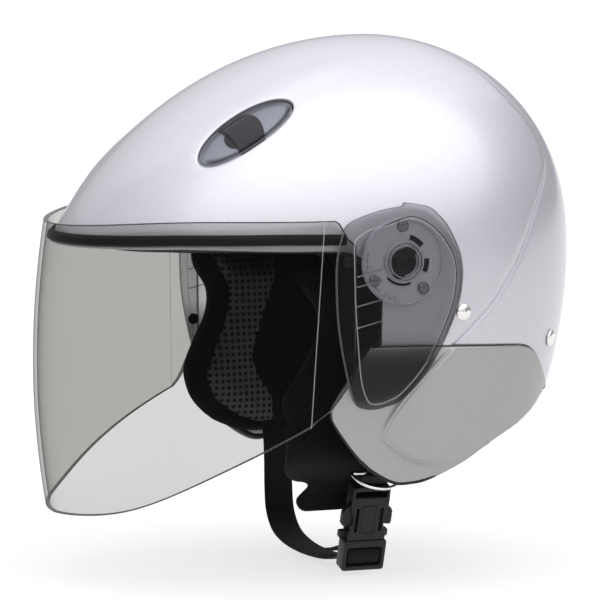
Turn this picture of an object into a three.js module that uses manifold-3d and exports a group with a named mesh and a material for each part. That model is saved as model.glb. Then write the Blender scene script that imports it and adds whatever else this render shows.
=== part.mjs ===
// Open face motorcycle helmet with a wrap-round visor on two side pivots.
// Millimetres, +Z up. The wearer looks along -Y and +X is the wearer's left.
// The origin is midway between the two visor pivots, on their axis.
import * as THREE from 'three';
import { mergeVertices } from 'three/addons/utils/BufferGeometryUtils.js';
import Module from 'manifold-3d';

const wasm = await Module();
wasm.setup();

// ---------------------------------------------------------------- driving dimensions
const SHELL_TOP = 118.5;            // height of the crown above the pivots
const SHELL_CENTRE_Y = 30.5;        // the crown's place behind the pivots
const SHELL_ROUNDNESS = 2.12;       // exponent of the plan outline
// Radius to the front, back and side at the widest level, the profile's exponent, that level's
// height, how fast the radius shrinks below it, and how much of an inset this direction takes.
const FRONT = { radius: 191.5, power: 1.35, level: -16.5, tuck: 0.05, insetShare: 1.25 };
const BACK = { radius: 105.5, power: 2.25, level: 8.5, tuck: 0.2, insetShare: 1.1 };
const SIDE = { radius: 126, power: 2.5, level: -16.5, tuck: 0.1, insetShare: 1 };

const SHELL_THICKNESS = 4;
const PANEL_THICKNESS = 3.2;
const FLANGE_OUTER = 3.6;           // the shell's inner flange, as insets from the outside
const FLANGE_INNER = 6.4;
const LINER_OUTER = 4.4;
const LINER_INNER = 30;
const CROWN_OUTER = 30.4;
const CROWN_INNER = 38;
const CHEEK_OUTER = 10;
const CHEEK_INNER = 42;
const NECK_OUTER = 9.5;
const NECK_INNER = 32;
const PIECE_GAP = 0.3;              // clearance between neighbours
const TRIM_WIDTH = 3.2;

const PIVOT_PLATE_RADIUS = 24;
const PIVOT_PLATE_INNER_X = 126.2;
const PIVOT_PLATE_OUTER_X = 127.9;
const HUB_FLANGE_RADIUS = 9.5;
const HUB_RADIUS = 5.4;
const HUB_TOP_X = 136;
const COVER_THICKNESS = 2.4;
const COVER_HEIGHT = 8;
const COVER_RIM_X = 127.4;          // rim of the side cover over the widest part of the shell

const VISOR_THICKNESS = 2.2;
const WEBBING_WIDTH = 19;
const WEBBING_THICKNESS = 1.8;
const REACH = 220;                  // beyond every face of the helmet

// ---------------------------------------------------------------- colours
const FINISH = {
  silver: { color: 0xc9ccd6, roughness: 0.25, metalness: 0.7 },
  satin: { color: 0xb0adab, roughness: 0.35, metalness: 0.7 },
  black: { color: 0x141416, roughness: 0.6, metalness: 0 },
  foam: { color: 0x33343a, roughness: 0.9, metalness: 0 },
  fabric: { color: 0x1c1c20, roughness: 1, metalness: 0 },
  smoke: { color: 0x55565c, roughness: 0.1, metalness: 0, transparent: true, opacity: 0.55 },
  clear: { color: 0xd6d8da, roughness: 0.05, metalness: 0, transparent: true, opacity: 0.25 },
  chrome: { color: 0xdddddd, roughness: 0.15, metalness: 1 },
};

// ---------------------------------------------------------------- the shell's surface
function profileRadius(z, direction, inset) {
  const top = SHELL_TOP - inset;
  const rise = THREE.MathUtils.clamp((z - direction.level) / (top - direction.level), 0, 1);
  const drop = THREE.MathUtils.clamp((direction.level - z) / 100, 0, 2);
  const full = direction.radius - direction.insetShare * inset;
  const above = Math.sqrt(Math.max(1e-9, 1 - rise ** direction.power));
  return full * above * (1 - direction.tuck * drop * drop);
}

// Plan radius at an angle from straight ahead (0 is front, a quarter turn is the +X side).
function shellRadius(angle, z, inset) {
  const ahead = Math.cos(angle);
  const aside = Math.sin(angle);
  const front = profileRadius(z, FRONT, inset);
  const back = profileRadius(z, BACK, inset);
  const side = profileRadius(z, SIDE, inset);
  const length = 1 / ((1 + ahead) / 2 / front + (1 - ahead) / 2 / back);
  const sum = Math.abs(ahead / length) ** SHELL_ROUNDNESS + Math.abs(aside / side) ** SHELL_ROUNDNESS;
  return sum ** (-1 / SHELL_ROUNDNESS);
}

function shellPoint(angle, z, inset) {
  const radius = shellRadius(angle, z, inset);
  return new THREE.Vector3(radius * Math.sin(angle), SHELL_CENTRE_Y - radius * Math.cos(angle), z);
}

function insideShell(point, inset) {
  if (point.z >= SHELL_TOP - inset) {
    return false;
  }
  const ahead = SHELL_CENTRE_Y - point.y;
  return Math.hypot(point.x, ahead) < shellRadius(Math.atan2(point.x, ahead), point.z, inset);
}

// Walks from a start along a direction to the shell's surface, by halving.
function surfaceFrom(start, direction, inset) {
  let inside = -60;
  let outside = 60;
  for (let i = 0; i < 40; i += 1) {
    const middle = (inside + outside) / 2;
    if (insideShell(start.clone().addScaledVector(direction, middle), inset)) {
      inside = middle;
    } else {
      outside = middle;
    }
  }
  return start.clone().addScaledVector(direction, inside);
}

// The surface point at a side-view position on the +X side, and its outward normal.
function sideSpot(y, z) {
  const outward = new THREE.Vector3(1, 0, 0);
  const at = (dy, dz) => surfaceFrom(new THREE.Vector3(100, y + dy, z + dz), outward, 0);
  const point = at(0, 0);
  const alongY = at(1, 0).sub(at(-1, 0));
  const alongZ = at(0, 1).sub(at(0, -1));
  return { point, normal: alongY.cross(alongZ).normalize() };
}

// ---------------------------------------------------------------- solids and booleans
function solid(geometry) {
  const plain = geometry.clone();
  plain.deleteAttribute('normal');
  plain.deleteAttribute('uv');
  const merged = mergeVertices(plain, 1e-4);
  const mesh = new wasm.Mesh({
    numProp: 3,
    vertProperties: new Float32Array(merged.attributes.position.array),
    triVerts: new Uint32Array(merged.index.array),
  });
  return new wasm.Manifold(mesh);
}

function geometryOf(manifold) {
  const mesh = manifold.getMesh();
  const geometry = new THREE.BufferGeometry();
  geometry.setAttribute('position', new THREE.BufferAttribute(mesh.vertProperties, 3));
  geometry.setIndex(new THREE.BufferAttribute(mesh.triVerts, 1));
  geometry.computeVertexNormals();
  return geometry;
}

function mirrored(geometry) {
  const copy = geometry.clone();
  copy.applyMatrix4(new THREE.Matrix4().makeScale(-1, 1, 1));
  if (!copy.index) {
    copy.setIndex([...Array(copy.attributes.position.count).keys()]);
  }
  const index = copy.index.array;
  for (let i = 0; i < index.length; i += 3) {
    [index[i], index[i + 1]] = [index[i + 1], index[i]];
  }
  return copy;
}

// A closed mesh from rows of points: every row is a loop, and each end is closed to its centre.
function loft(rows) {
  const count = rows[0].length;
  const positions = [];
  const index = [];
  rows.forEach((row) => row.forEach((p) => positions.push(p.x, p.y, p.z)));
  for (let r = 0; r < rows.length - 1; r += 1) {
    for (let i = 0; i < count; i += 1) {
      const a = r * count + i;
      const b = r * count + ((i + 1) % count);
      index.push(a, b, b + count, a, b + count, a + count);
    }
  }
  [0, rows.length - 1].forEach((r) => {
    const centre = new THREE.Vector3();
    rows[r].forEach((p) => centre.addScaledVector(p, 1 / count));
    const tip = positions.length / 3;
    positions.push(centre.x, centre.y, centre.z);
    for (let i = 0; i < count; i += 1) {
      const a = r * count + i;
      const b = r * count + ((i + 1) % count);
      index.push(...(r === 0 ? [b, a, tip] : [a, b, tip]));
    }
  });
  const geometry = new THREE.BufferGeometry();
  geometry.setAttribute('position', new THREE.Float32BufferAttribute(positions, 3));
  geometry.setIndex(index);
  return geometry;
}

const DOME_SIDES = 32;
const DOME_SKIRT_ROWS = 4;
const DOME_CROWN_ROWS = 9;
const SKIRT_BOTTOM = -134;

// Everything inside the shell's surface at an inset, down to a flat bottom.
function dome(inset, bottom = SKIRT_BOTTOM) {
  const rows = [];
  const levels = [];
  for (let i = 0; i < DOME_SKIRT_ROWS; i += 1) {
    levels.push(THREE.MathUtils.lerp(bottom, SIDE.level, i / DOME_SKIRT_ROWS));
  }
  for (let i = 0; i < DOME_CROWN_ROWS; i += 1) {
    const turn = (i / DOME_CROWN_ROWS) * (Math.PI / 2);
    levels.push(SIDE.level + (SHELL_TOP - inset - SIDE.level) * Math.sin(turn));
  }
  levels.forEach((z) => {
    const row = [];
    for (let i = 0; i < DOME_SIDES; i += 1) {
      row.push(shellPoint(-(i / DOME_SIDES) * Math.PI * 2, z, inset));
    }
    rows.push(row);
  });
  const closed = loft(rows.map((row) => row.slice().reverse()));
  // The last row's centre is lifted to the crown itself.
  const position = closed.attributes.position;
  position.setZ(position.count - 1, SHELL_TOP - inset);
  position.setXY(position.count - 1, 0, SHELL_CENTRE_Y);
  return solid(closed);
}

function wall(outerInset, innerInset) {
  return dome(outerInset).subtract(dome(innerInset, SKIRT_BOTTOM - 5));
}

// A side-view outline of (y, z) points, pushed through along X.
function through(points, fromX = -REACH, toX = REACH) {
  const shape = new THREE.Shape(points.map(([y, z]) => new THREE.Vector2(y, z)));
  const geometry = new THREE.ExtrudeGeometry(shape, { depth: toX - fromX, bevelEnabled: false });
  const turn = new THREE.Matrix4().makeBasis(
    new THREE.Vector3(0, 1, 0),
    new THREE.Vector3(0, 0, 1),
    new THREE.Vector3(1, 0, 0),
  );
  geometry.applyMatrix4(turn);
  geometry.translate(fromX, 0, 0);
  return solid(geometry);
}

// The line moved sideways: a positive distance is to the right of the way the points run.
function shifted(points, distance) {
  return points.map((point, i) => {
    const before = points[Math.max(0, i - 1)];
    const after = points[Math.min(points.length - 1, i + 1)];
    const dy = after[0] - before[0];
    const dz = after[1] - before[1];
    const length = Math.hypot(dy, dz);
    return [point[0] + (dz / length) * distance, point[1] - (dy / length) * distance];
  });
}

// The strip between two shifted copies of a line.
function band(points, near, far) {
  return [...shifted(points, near), ...shifted(points, far).reverse()];
}

function rod(from, to, radius, sides = 12) {
  const length = from.distanceTo(to);
  const geometry = new THREE.CylinderGeometry(radius, radius, length, sides);
  const along = to.clone().sub(from).normalize();
  geometry.applyQuaternion(new THREE.Quaternion().setFromUnitVectors(new THREE.Vector3(0, 1, 0), along));
  const middle = from.clone().add(to).multiplyScalar(0.5);
  geometry.translate(middle.x, middle.y, middle.z);
  return geometry;
}

function sideRod(y, z, fromX, toX, radius, sides = 12) {
  return rod(new THREE.Vector3(fromX, y, z), new THREE.Vector3(toX, y, z), radius, sides);
}

// A surface of revolution from [radius, height] steps, standing on a spot along a direction.
function turned(steps, spot, direction, sides = 16) {
  const profile = steps.map(([radius, height]) => new THREE.Vector2(radius, height));
  const geometry = new THREE.LatheGeometry(profile, sides);
  const up = new THREE.Vector3(0, 1, 0);
  geometry.applyQuaternion(new THREE.Quaternion().setFromUnitVectors(up, direction));
  geometry.translate(spot.x, spot.y, spot.z);
  return geometry;
}

// ---------------------------------------------------------------- side-view outlines, as [y, z]
function arc(centreY, centreZ, radius, fromDegrees, toDegrees, steps) {
  const points = [];
  for (let i = 0; i <= steps; i += 1) {
    const turn = THREE.MathUtils.degToRad(THREE.MathUtils.lerp(fromDegrees, toDegrees, i / steps));
    points.push([centreY + radius * Math.cos(turn), centreZ + radius * Math.sin(turn)]);
  }
  return points;
}

const TEMPLE_Y = -10;               // front edge of the shell beside the eyes
const BROW_CORNER_RADIUS = 23;
const BROW_CORNER = arc(TEMPLE_Y - BROW_CORNER_RADIUS, -17.5, BROW_CORNER_RADIUS, 90, 0, 5);
const BROW_LINE = [[-REACH, -3.3], [-150, 0.2], [-60, 4.4]];

// The gap between shell and side panel, from the temple back and down to the rear edge.
const PANEL_GAP_LINE = [
  [TEMPLE_Y, -46], [20, -46.2], [60, -47.6], [76, -48.8], [84, -52], [90, -58.5], [100.5, -74],
];
// The side panel's free edge, from the same rear end round below the ear to the temple.
const PANEL_FREE_EDGE = [
  [91, -81.5], [76, -91.2], [57, -101], [42, -111], [23, -121], [12, -123.4], [3.4, -123.2], [-7, -118],
  [-16.6, -110], [-29.5, -93.3], [-34, -84.5], [-32.4, -76.1], [-21.8, -57.5], [-14.8, -46],
];

function shellOutline() {
  return [
    ...BROW_LINE, ...BROW_CORNER, ...PANEL_GAP_LINE, [REACH, -74], [REACH, REACH], [-REACH, REACH],
  ];
}

function panelOutline() {
  const top = shifted(PANEL_GAP_LINE, 0.5).slice(1, -1);
  return [[-13.8, -47], ...top, [99.4, -75], ...PANEL_FREE_EDGE.slice(0, -1)];
}

// The shell's inner flange, which the panels and the trims are fixed to.
function flangeOutline() {
  const top = [[-9, -37], [60, -39], [78, -41], [90, -48]];
  const inner = shifted(PANEL_FREE_EDGE, 1.5).slice(0, -1);
  return [...top, [96, -70], ...inner, [-9.2, -45]];
}

// ---------------------------------------------------------------- scene helpers
const helmet = new THREE.Group();

function material(finish) {
  return new THREE.MeshStandardMaterial({ ...FINISH[finish], flatShading: true });
}

function add(name, geometry, finish, parent = helmet) {
  const mesh = new THREE.Mesh(geometry, material(finish));
  mesh.name = name;
  parent.add(mesh);
  return mesh;
}

function addPair(name, geometry, finish) {
  add(`${name}_left`, geometry, finish);
  add(`${name}_right`, mirrored(geometry), finish);
}

// ---------------------------------------------------------------- fastener places, on the +X side
const STRAP_RIVET = sideSpot(36, -28.6);
const REAR_RIVET = sideSpot(99.5, -47.3);
const BASE_SCREWS = [[-0.5, 19.4], [11.6, -14.5], [-17, -10]];
const SCREW_RADIUS = 1.6;
const RIVET_HEAD_RADIUS = 4.7;
const RIVET_SHANK_RADIUS = 2;
const RIVET_SHANK_LENGTH = 7.5;

function rivet(spot) {
  const head = RIVET_HEAD_RADIUS;
  const steps = [
    [0, -RIVET_SHANK_LENGTH], [RIVET_SHANK_RADIUS, -RIVET_SHANK_LENGTH], [RIVET_SHANK_RADIUS, 0.5],
    [head, 0.5], [head * 0.9, 1.3], [head * 0.6, 2], [0, 2.4],
  ];
  return turned(steps, spot.point, spot.normal);
}

function rivetHole(spot) {
  const outer = spot.point.clone().addScaledVector(spot.normal, 8);
  const inner = spot.point.clone().addScaledVector(spot.normal, -12);
  return solid(rod(outer, inner, RIVET_SHANK_RADIUS + PIECE_GAP, 12));
}

// ---------------------------------------------------------------- crown vents
const VENT_NORMAL = new THREE.Vector3(0.535, -0.43, 0.727).normalize();
const VENT_CENTRE = surfaceFrom(new THREE.Vector3(66, -68, 69), VENT_NORMAL, 0);
const VENT_ALONG = new THREE.Vector3(0.17, 0.87, 0.47).projectOnPlane(VENT_NORMAL).normalize();
const VENT_ACROSS = VENT_NORMAL.clone().cross(VENT_ALONG);
const VENT_HALF_LENGTH = 30.5;
const VENT_HALF_WIDTH = 15.2;
const VENT_ROUNDNESS = 2.3;         // exponent of its oval outline
const VENT_SIDES = 24;
const VENT_RECESS = 9;              // depth of the opening cut through the shell
const VENT_TRAY_TOP = -1.7;         // heights over the shell's surface
const VENT_TRAY_BOTTOM = -2.9;
const VENT_COVER_RISE = 4.2;
const VENT_COVER_THICKNESS = 1.6;
const VENT_FIT = 0.98;              // size of the tray and cover beside the opening

function ventOutline(turn, scale) {
  const bow = (value) => Math.sign(value) * Math.abs(value) ** (2 / VENT_ROUNDNESS) * scale;
  return [bow(Math.cos(turn)) * VENT_HALF_LENGTH, bow(Math.sin(turn)) * VENT_HALF_WIDTH];
}

// A point over the shell at a place along and across the vent, at a height above the surface.
function ventPoint(along, across, height) {
  const start = VENT_CENTRE.clone().addScaledVector(VENT_ALONG, along).addScaledVector(VENT_ACROSS, across);
  return surfaceFrom(start, VENT_NORMAL, 0).addScaledVector(VENT_NORMAL, height);
}

function ventRing(scale, height) {
  const ring = [];
  for (let i = 0; i < VENT_SIDES; i += 1) {
    const [along, across] = ventOutline((i / VENT_SIDES) * Math.PI * 2, scale);
    ring.push(ventPoint(along, across, height));
  }
  return ring;
}

function ventSolid(levels) {
  return loft(levels.map(([scale, height]) => ventRing(scale, height)));
}

// ---------------------------------------------------------------- shell, panels, seals
function buildShell() {
  let shell = wall(0, SHELL_THICKNESS).intersect(through(shellOutline()));
  const flange = wall(FLANGE_OUTER, FLANGE_INNER).intersect(through(flangeOutline()));
  shell = shell.add(flange);
  const ventHole = ventSolid([[1, -VENT_RECESS], [1, VENT_RECESS]]);
  const holes = [
    rivetHole(STRAP_RIVET), rivetHole(REAR_RIVET), solid(ventHole),
    ...BASE_SCREWS.map(([y, z]) => solid(sideRod(y, z, 110, 135, SCREW_RADIUS + PIECE_GAP, 8))),
  ];
  holes.forEach((hole) => {
    shell = shell.subtract(hole).subtract(solid(mirrored(geometryOf(hole))));
  });
  return geometryOf(shell);
}

add('outer_shell', buildShell(), 'silver');

const panel = wall(0, PANEL_THICKNESS).intersect(through(panelOutline(), 0, REACH));
addPair('side_panel', geometryOf(panel), 'satin');

const TRIM_LINE = [
  [100.5, -74.5], ...PANEL_FREE_EDGE.slice(0, -1), [-15.3, -47.5], [TEMPLE_Y, -43], [TEMPLE_Y, -17.5],
];
const trim = wall(0.3, FLANGE_INNER).intersect(through(band(TRIM_LINE, -PIECE_GAP, -TRIM_WIDTH), 0, REACH));
addPair('opening_trim', geometryOf(trim), 'black');

const REAR_TRIM_OUTLINE = [[101.6, -74.4], [REACH, -74.4], [REACH, -77.6], [104, -77.6]];
add('rear_trim', geometryOf(wall(0.3, FLANGE_INNER).intersect(through(REAR_TRIM_OUTLINE))), 'black');

const BROW_SEAL_LINE = [[-REACH, -3.3], [-150, 0.2], [-60, 4.4], [-47, 4.9]];
const browSeal = wall(-2.3, -0.3).intersect(through(band(BROW_SEAL_LINE, -3.3, -8.8)));
add('brow_seal', geometryOf(browSeal), 'black');

// ---------------------------------------------------------------- lining
const LINER_OUTLINE = [
  [-REACH, -1.5], [-150, 2], [-60, 6.2], [-36, 7], [-16, -4], [-8, -6.5], [50, -7.5], [64, -38],
  [REACH, -38], [REACH, REACH], [-REACH, REACH],
];
add('eps_liner', geometryOf(wall(LINER_OUTER, LINER_INNER).intersect(through(LINER_OUTLINE))), 'foam');

const CROWN_OUTLINE = [
  [-REACH, 1], [-150, 4.5], [-60, 8.5], [-34, 9], [20, 4], [48, -4], [66, -30], [REACH, -34],
  [REACH, REACH], [-REACH, REACH],
];
add('crown_lining', geometryOf(wall(CROWN_OUTER, CROWN_INNER).intersect(through(CROWN_OUTLINE))), 'fabric');

const CHEEK_OUTLINE = [
  [-33, -4], [-36, -12], [-28, -37], [-37, -66], [-39, -84], [-34, -98], [-20, -110.5], [-6, -116.5],
  [9, -117.5], [24, -115.5], [42, -106], [56, -97], [66, -91], [66, -60], [60, -38], [46, -9.5],
  [-12, -9.5],
];
const NECK_OUTLINE = [
  [69, -39], [REACH, -39], [REACH, -72.5], [102, -72.5], [88, -80], [69, -91],
];
add('neck_roll', geometryOf(wall(NECK_OUTER, NECK_INNER).intersect(through(NECK_OUTLINE))), 'fabric');

// ---------------------------------------------------------------- vents
addPair('vent_tray', ventSolid([[VENT_FIT, VENT_TRAY_BOTTOM], [VENT_FIT, VENT_TRAY_TOP]]), 'silver');
// The duct's hood under the clear cover: a low dome half the vent's size.
addPair('vent_duct', ventSolid([[0.5, VENT_TRAY_TOP + PIECE_GAP], [0.52, 0.6], [0.4, 2]]), 'black');

function ventCover() {
  const crown = (scale) => PIECE_GAP + VENT_COVER_RISE * (1 - scale ** 3);
  const outer = [1, 0.9, 0.7, 0.4].map((scale) => [scale * VENT_FIT, crown(scale)]);
  const inner = outer.map(([scale, height]) => [scale * 0.96, height - VENT_COVER_THICKNESS]);
  return ventSolid([...inner.reverse(), ...outer]);
}

addPair('vent_cover', ventCover(), 'smoke');

// ---------------------------------------------------------------- visor pivots
function pivotBase() {
  const disc = solid(sideRod(0, 0, PIVOT_PLATE_INNER_X, PIVOT_PLATE_OUTER_X, PIVOT_PLATE_RADIUS, 40));
  const holes = BASE_SCREWS.map(([y, z]) => solid(sideRod(y, z, 120, 135, SCREW_RADIUS + PIECE_GAP, 8)));
  return geometryOf(holes.reduce((plate, hole) => plate.subtract(hole), disc));
}

function pivotHub() {
  const axis = new THREE.Vector3(1, 0, 0);
  const base = new THREE.Vector3(PIVOT_PLATE_OUTER_X + PIECE_GAP, 0, 0);
  const rise = HUB_TOP_X - base.x;
  const steps = [
    [0, 0], [HUB_FLANGE_RADIUS, 0], [HUB_FLANGE_RADIUS, 1.4], [HUB_RADIUS, 1.6],
    [HUB_RADIUS, rise - 0.5], [HUB_RADIUS - 0.7, rise], [0, rise],
  ];
  return turned(steps, base, axis, 24);
}

function baseScrew(y, z) {
  const surfaceX = sideSpot(y, z).point.x;
  const base = new THREE.Vector3(surfaceX - SHELL_THICKNESS, y, z);
  const seat = PIVOT_PLATE_OUTER_X + PIECE_GAP - base.x;
  const head = SCREW_RADIUS * 2;
  const steps = [
    [0, 0], [SCREW_RADIUS, 0], [SCREW_RADIUS, seat], [head, seat], [head, seat + 0.9],
    [head - 1, seat + 1.4], [0, seat + 1.4],
  ];
  return turned(steps, base, new THREE.Vector3(1, 0, 0), 12);
}

addPair('pivot_base', pivotBase(), 'black');
addPair('pivot_hub', pivotHub(), 'black');
BASE_SCREWS.forEach(([y, z], i) => addPair(`base_screw_${i + 1}`, baseScrew(y, z), 'chrome'));

// ---------------------------------------------------------------- side covers
// Side-view outline of the smoked cover: round behind the pivot, with a tail towards the jaw.
const COVER_OUTLINE = [
  [0.8, 31.5], [13, 27], [24, 16.5], [31.5, 3], [32.6, -12], [28.5, -30], [16, -56.5], [1.2, -73.6],
  [-9.4, -78.3], [-19, -79.8], [-26, -75.8], [-30.8, -60.3], [-35, -38], [-36.4, -18], [-36.3, 0],
  [-33, 16], [-27.8, 22.4], [-13, 27.8],
];
const COVER_SIDES = 36;
const COVER_MIDDLE = new THREE.Vector2(-4, -18);

// Height of the cover's rim: it leans in to the front and down the tail.
function coverRimX(y, z) {
  const forward = Math.max(0, 8 - y);
  const below = Math.max(0, -30 - z);
  return COVER_RIM_X - 0.003 * forward ** 2 - 0.0012 * below ** 2;
}

function coverRing(scale, height) {
  const curve = new THREE.CatmullRomCurve3(COVER_OUTLINE.map(([y, z]) => new THREE.Vector3(y, z, 0)), true);
  return curve.getSpacedPoints(COVER_SIDES).slice(0, -1).map((point) => {
    const y = COVER_MIDDLE.x + (point.x - COVER_MIDDLE.x) * scale;
    const z = COVER_MIDDLE.y + (point.y - COVER_MIDDLE.y) * scale;
    return new THREE.Vector3(coverRimX(y, z) + height, y, z);
  });
}

function sideCover() {
  const outer = [];
  const inner = [];
  [1, 0.97, 0.86, 0.6, 0.3].forEach((scale) => {
    const rise = COVER_HEIGHT * Math.sqrt(1 - scale ** 6);
    outer.push(coverRing(scale, rise + (scale === 1 ? COVER_THICKNESS / 2 : 0)));
    inner.push(coverRing(scale * 0.965, Math.max(0, rise - COVER_THICKNESS)));
  });
  const shell = solid(loft([...inner.reverse(), ...outer].map((ring) => ring.slice().reverse())));
  const hole = solid(sideRod(0, 0, 110, 150, HUB_RADIUS + 0.5, 24));
  return geometryOf(shell.subtract(hole));
}

addPair('side_cover', sideCover(), 'smoke');

// ---------------------------------------------------------------- visor
const VISOR_FOLD_X = 121;           // half width at the fold, at the top edge
const VISOR_FOLD_Y = -43;
const VISOR_FRONT_Y = -163;         // furthest forward, at the level below
const VISOR_FRONT_LEVEL = -62;
// The side walls run back under the side covers: y, top and bottom z, and depth below the rim.
const VISOR_FLANGES = [
  { y: -36, top: 17, bottom: -81, sunk: 0.6 },
  { y: -25, top: 8, bottom: -62, sunk: 1.6 },
];
const VISOR_ARC_STEPS = 22;
const VISOR_ROWS = 6;

// One point of the visor's outer face; turn is degrees from straight ahead, 90 at the fold.
function visorFront(turn, z) {
  const below = THREE.MathUtils.clamp((20 - z) / 108, 0, 1.5);
  const halfWidth = VISOR_FOLD_X - 11 * below;
  const foldY = VISOR_FOLD_Y - 3 * below;
  const frontY = VISOR_FRONT_Y + 7.5 * ((z - VISOR_FRONT_LEVEL) / 84) ** 2;
  const angle = THREE.MathUtils.degToRad(turn);
  return new THREE.Vector3(halfWidth * Math.sin(angle), foldY - (foldY - frontY) * Math.cos(angle), z);
}

function visorTop(turn) {
  return 22.5 - 5.8 * Math.cos(THREE.MathUtils.degToRad(turn)) ** 4;
}

// Level across the chin, then rising in a smooth bend towards the fold.
function visorBottom(turn) {
  const past = Math.abs(turn) - 38;
  return -147 + 0.525 * (Math.hypot(past, 20) + past);
}

// Columns of points from top to bottom, from the right flange round the front to the left one.
function visorColumns() {
  const columns = [];
  const spread = (top, bottom, place) => {
    const column = [];
    for (let row = 0; row <= VISOR_ROWS; row += 1) {
      column.push(place(THREE.MathUtils.lerp(top, bottom, row / VISOR_ROWS)));
    }
    return column;
  };
  for (let i = 0; i <= VISOR_ARC_STEPS; i += 1) {
    const turn = -90 + (180 * i) / VISOR_ARC_STEPS;
    columns.push(spread(visorTop(turn), visorBottom(turn), (z) => visorFront(turn, z)));
  }
  VISOR_FLANGES.forEach(({ y, top, bottom, sunk }) => {
    const flangeX = (z) => coverRimX(y, z) - sunk;
    columns.push(spread(top, bottom, (z) => new THREE.Vector3(flangeX(z), y, z)));
    columns.unshift(spread(top, bottom, (z) => new THREE.Vector3(-flangeX(z), y, z)));
  });
  return columns;
}

function visorSolid() {
  const outer = visorColumns();
  const positions = [];
  const index = [];
  const rows = outer[0].length;
  const inwardAt = (c, r) => {
    const left = outer[Math.max(0, c - 1)][r];
    const right = outer[Math.min(outer.length - 1, c + 1)][r];
    const up = outer[c][Math.max(0, r - 1)];
    const down = outer[c][Math.min(rows - 1, r + 1)];
    return right.clone().sub(left).cross(up.clone().sub(down)).normalize();
  };
  outer.forEach((column) => column.forEach((p) => positions.push(p.x, p.y, p.z)));
  outer.forEach((column, c) => column.forEach((p, r) => {
    const q = p.clone().addScaledVector(inwardAt(c, r), -VISOR_THICKNESS);
    positions.push(q.x, q.y, q.z);
  }));
  const inside = outer.length * rows;
  const quad = (a, b, c, d) => index.push(a, b, c, a, c, d);
  for (let c = 0; c < outer.length - 1; c += 1) {
    for (let r = 0; r < rows - 1; r += 1) {
      const a = c * rows + r;
      quad(a, a + 1, a + rows + 1, a + rows);
      quad(inside + a + rows, inside + a + rows + 1, inside + a + 1, inside + a);
    }
    const top = c * rows;
    const bottom = top + rows - 1;
    quad(top + rows, inside + top + rows, inside + top, top);
    quad(bottom, inside + bottom, inside + bottom + rows, bottom + rows);
  }
  for (let r = 0; r < rows - 1; r += 1) {
    const last = (outer.length - 1) * rows + r;
    quad(r + 1, r, inside + r, inside + r + 1);
    quad(last, last + 1, inside + last + 1, inside + last);
  }
  const geometry = new THREE.BufferGeometry();
  geometry.setAttribute('position', new THREE.Float32BufferAttribute(positions, 3));
  geometry.setIndex(index);
  return geometry;
}

const COVER_SCREWS = { upper: [-29.5, 0], lower: [-28, -52] };
const COVER_SCREW_RADIUS = 2;
const COVER_SCREW_LENGTH = 3.6;
let visor = solid(visorSolid());
Object.values(COVER_SCREWS).forEach(([y, z]) => {
  [-1, 1].forEach((side) => {
    const hole = sideRod(y, z, side * 105, side * 135, COVER_SCREW_RADIUS + PIECE_GAP);
    visor = visor.subtract(solid(hole));
  });
});
add('visor', geometryOf(visor), 'clear');

Object.entries(COVER_SCREWS).forEach(([name, [y, z]]) => {
  const tipX = coverRimX(y, z) - COVER_SCREW_LENGTH + 0.2;
  const screw = sideRod(y, z, tipX, tipX + COVER_SCREW_LENGTH, COVER_SCREW_RADIUS);
  addPair(`cover_screw_${name}`, screw, 'chrome');
});

// ---------------------------------------------------------------- rivets and strap hangers
addPair('strap_rivet', rivet(STRAP_RIVET), 'chrome');
addPair('rear_rivet', rivet(REAR_RIVET), 'chrome');

const HANGER_OUTLINE = [[26, -22], [46, -22], [46, -36], [30, -36]];
const hanger = wall(5, 6.4).intersect(through(HANGER_OUTLINE, 0, REACH)).subtract(rivetHole(STRAP_RIVET));
addPair('strap_hanger', geometryOf(hanger), 'chrome');

// ---------------------------------------------------------------- webbing
// A flat strip along a path; its width runs along Y at every step.
function webbing(points, width, thickness, steps) {
  const curve = new THREE.CatmullRomCurve3(points.map(([x, y, z]) => new THREE.Vector3(x, y, z)));
  const across = new THREE.Vector3(0, 1, 0);
  const rows = [];
  for (let i = 0; i <= steps; i += 1) {
    const centre = curve.getPointAt(i / steps);
    const face = curve.getTangentAt(i / steps).cross(across).normalize();
    rows.push([[-1, -1], [1, -1], [1, 1], [-1, 1]].map(([side, depth]) => centre.clone()
      .addScaledVector(across, (side * width) / 2)
      .addScaledVector(face, (depth * thickness) / 2)));
  }
  return loft(rows);
}

// The part of each strap that lies against the shell, from the rivet down.
function webbingInsideShell() {
  const outline = [[27.5, -38], [46.5, -38], [34, -76], [15, -76]];
  return wall(6.8, 6.8 + WEBBING_THICKNESS).intersect(through(outline, 0, REACH));
}

// From the shell through the cheek pad's slit to its lower edge, on the +X side.
const SLIT_PATH = [
  [114, 25.5, -62], [112.9, 23, -72], [108, 18.5, -85], [97, 13, -100], [84, 9.5, -112], [77.5, 8, -121],
];
const LEFT_STRAP_PATH = [...SLIT_PATH, [73.5, 7, -126], [71, 6, -128]];
const RIGHT_STRAP_PATH = [
  ...SLIT_PATH.map(([x, y, z]) => [-x, y, z]), [-75.5, 8, -133], [-68.5, 7.5, -147], [-53, 6, -160.5],
  [-32, 4, -170.8], [-12, 3, -174.6],
];
const TAIL_PATH = [[-11.6, 3, -174.6], [8, 3.4, -176], [28, 4.5, -175.4], [47, 6, -171.5]];
const FLAP_PATH = [[47.5, 6, -165.6], [36, 5, -169.6], [22, 4.2, -172.2], [14, 3.8, -173.2]];

const slit = solid(webbing(SLIT_PATH, WEBBING_WIDTH + 2, WEBBING_THICKNESS + 1.4, 9));
const cheekPad = wall(CHEEK_OUTER, CHEEK_INNER).intersect(through(CHEEK_OUTLINE, 0, REACH)).subtract(slit);
addPair('cheek_pad', geometryOf(cheekPad), 'fabric');

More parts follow.
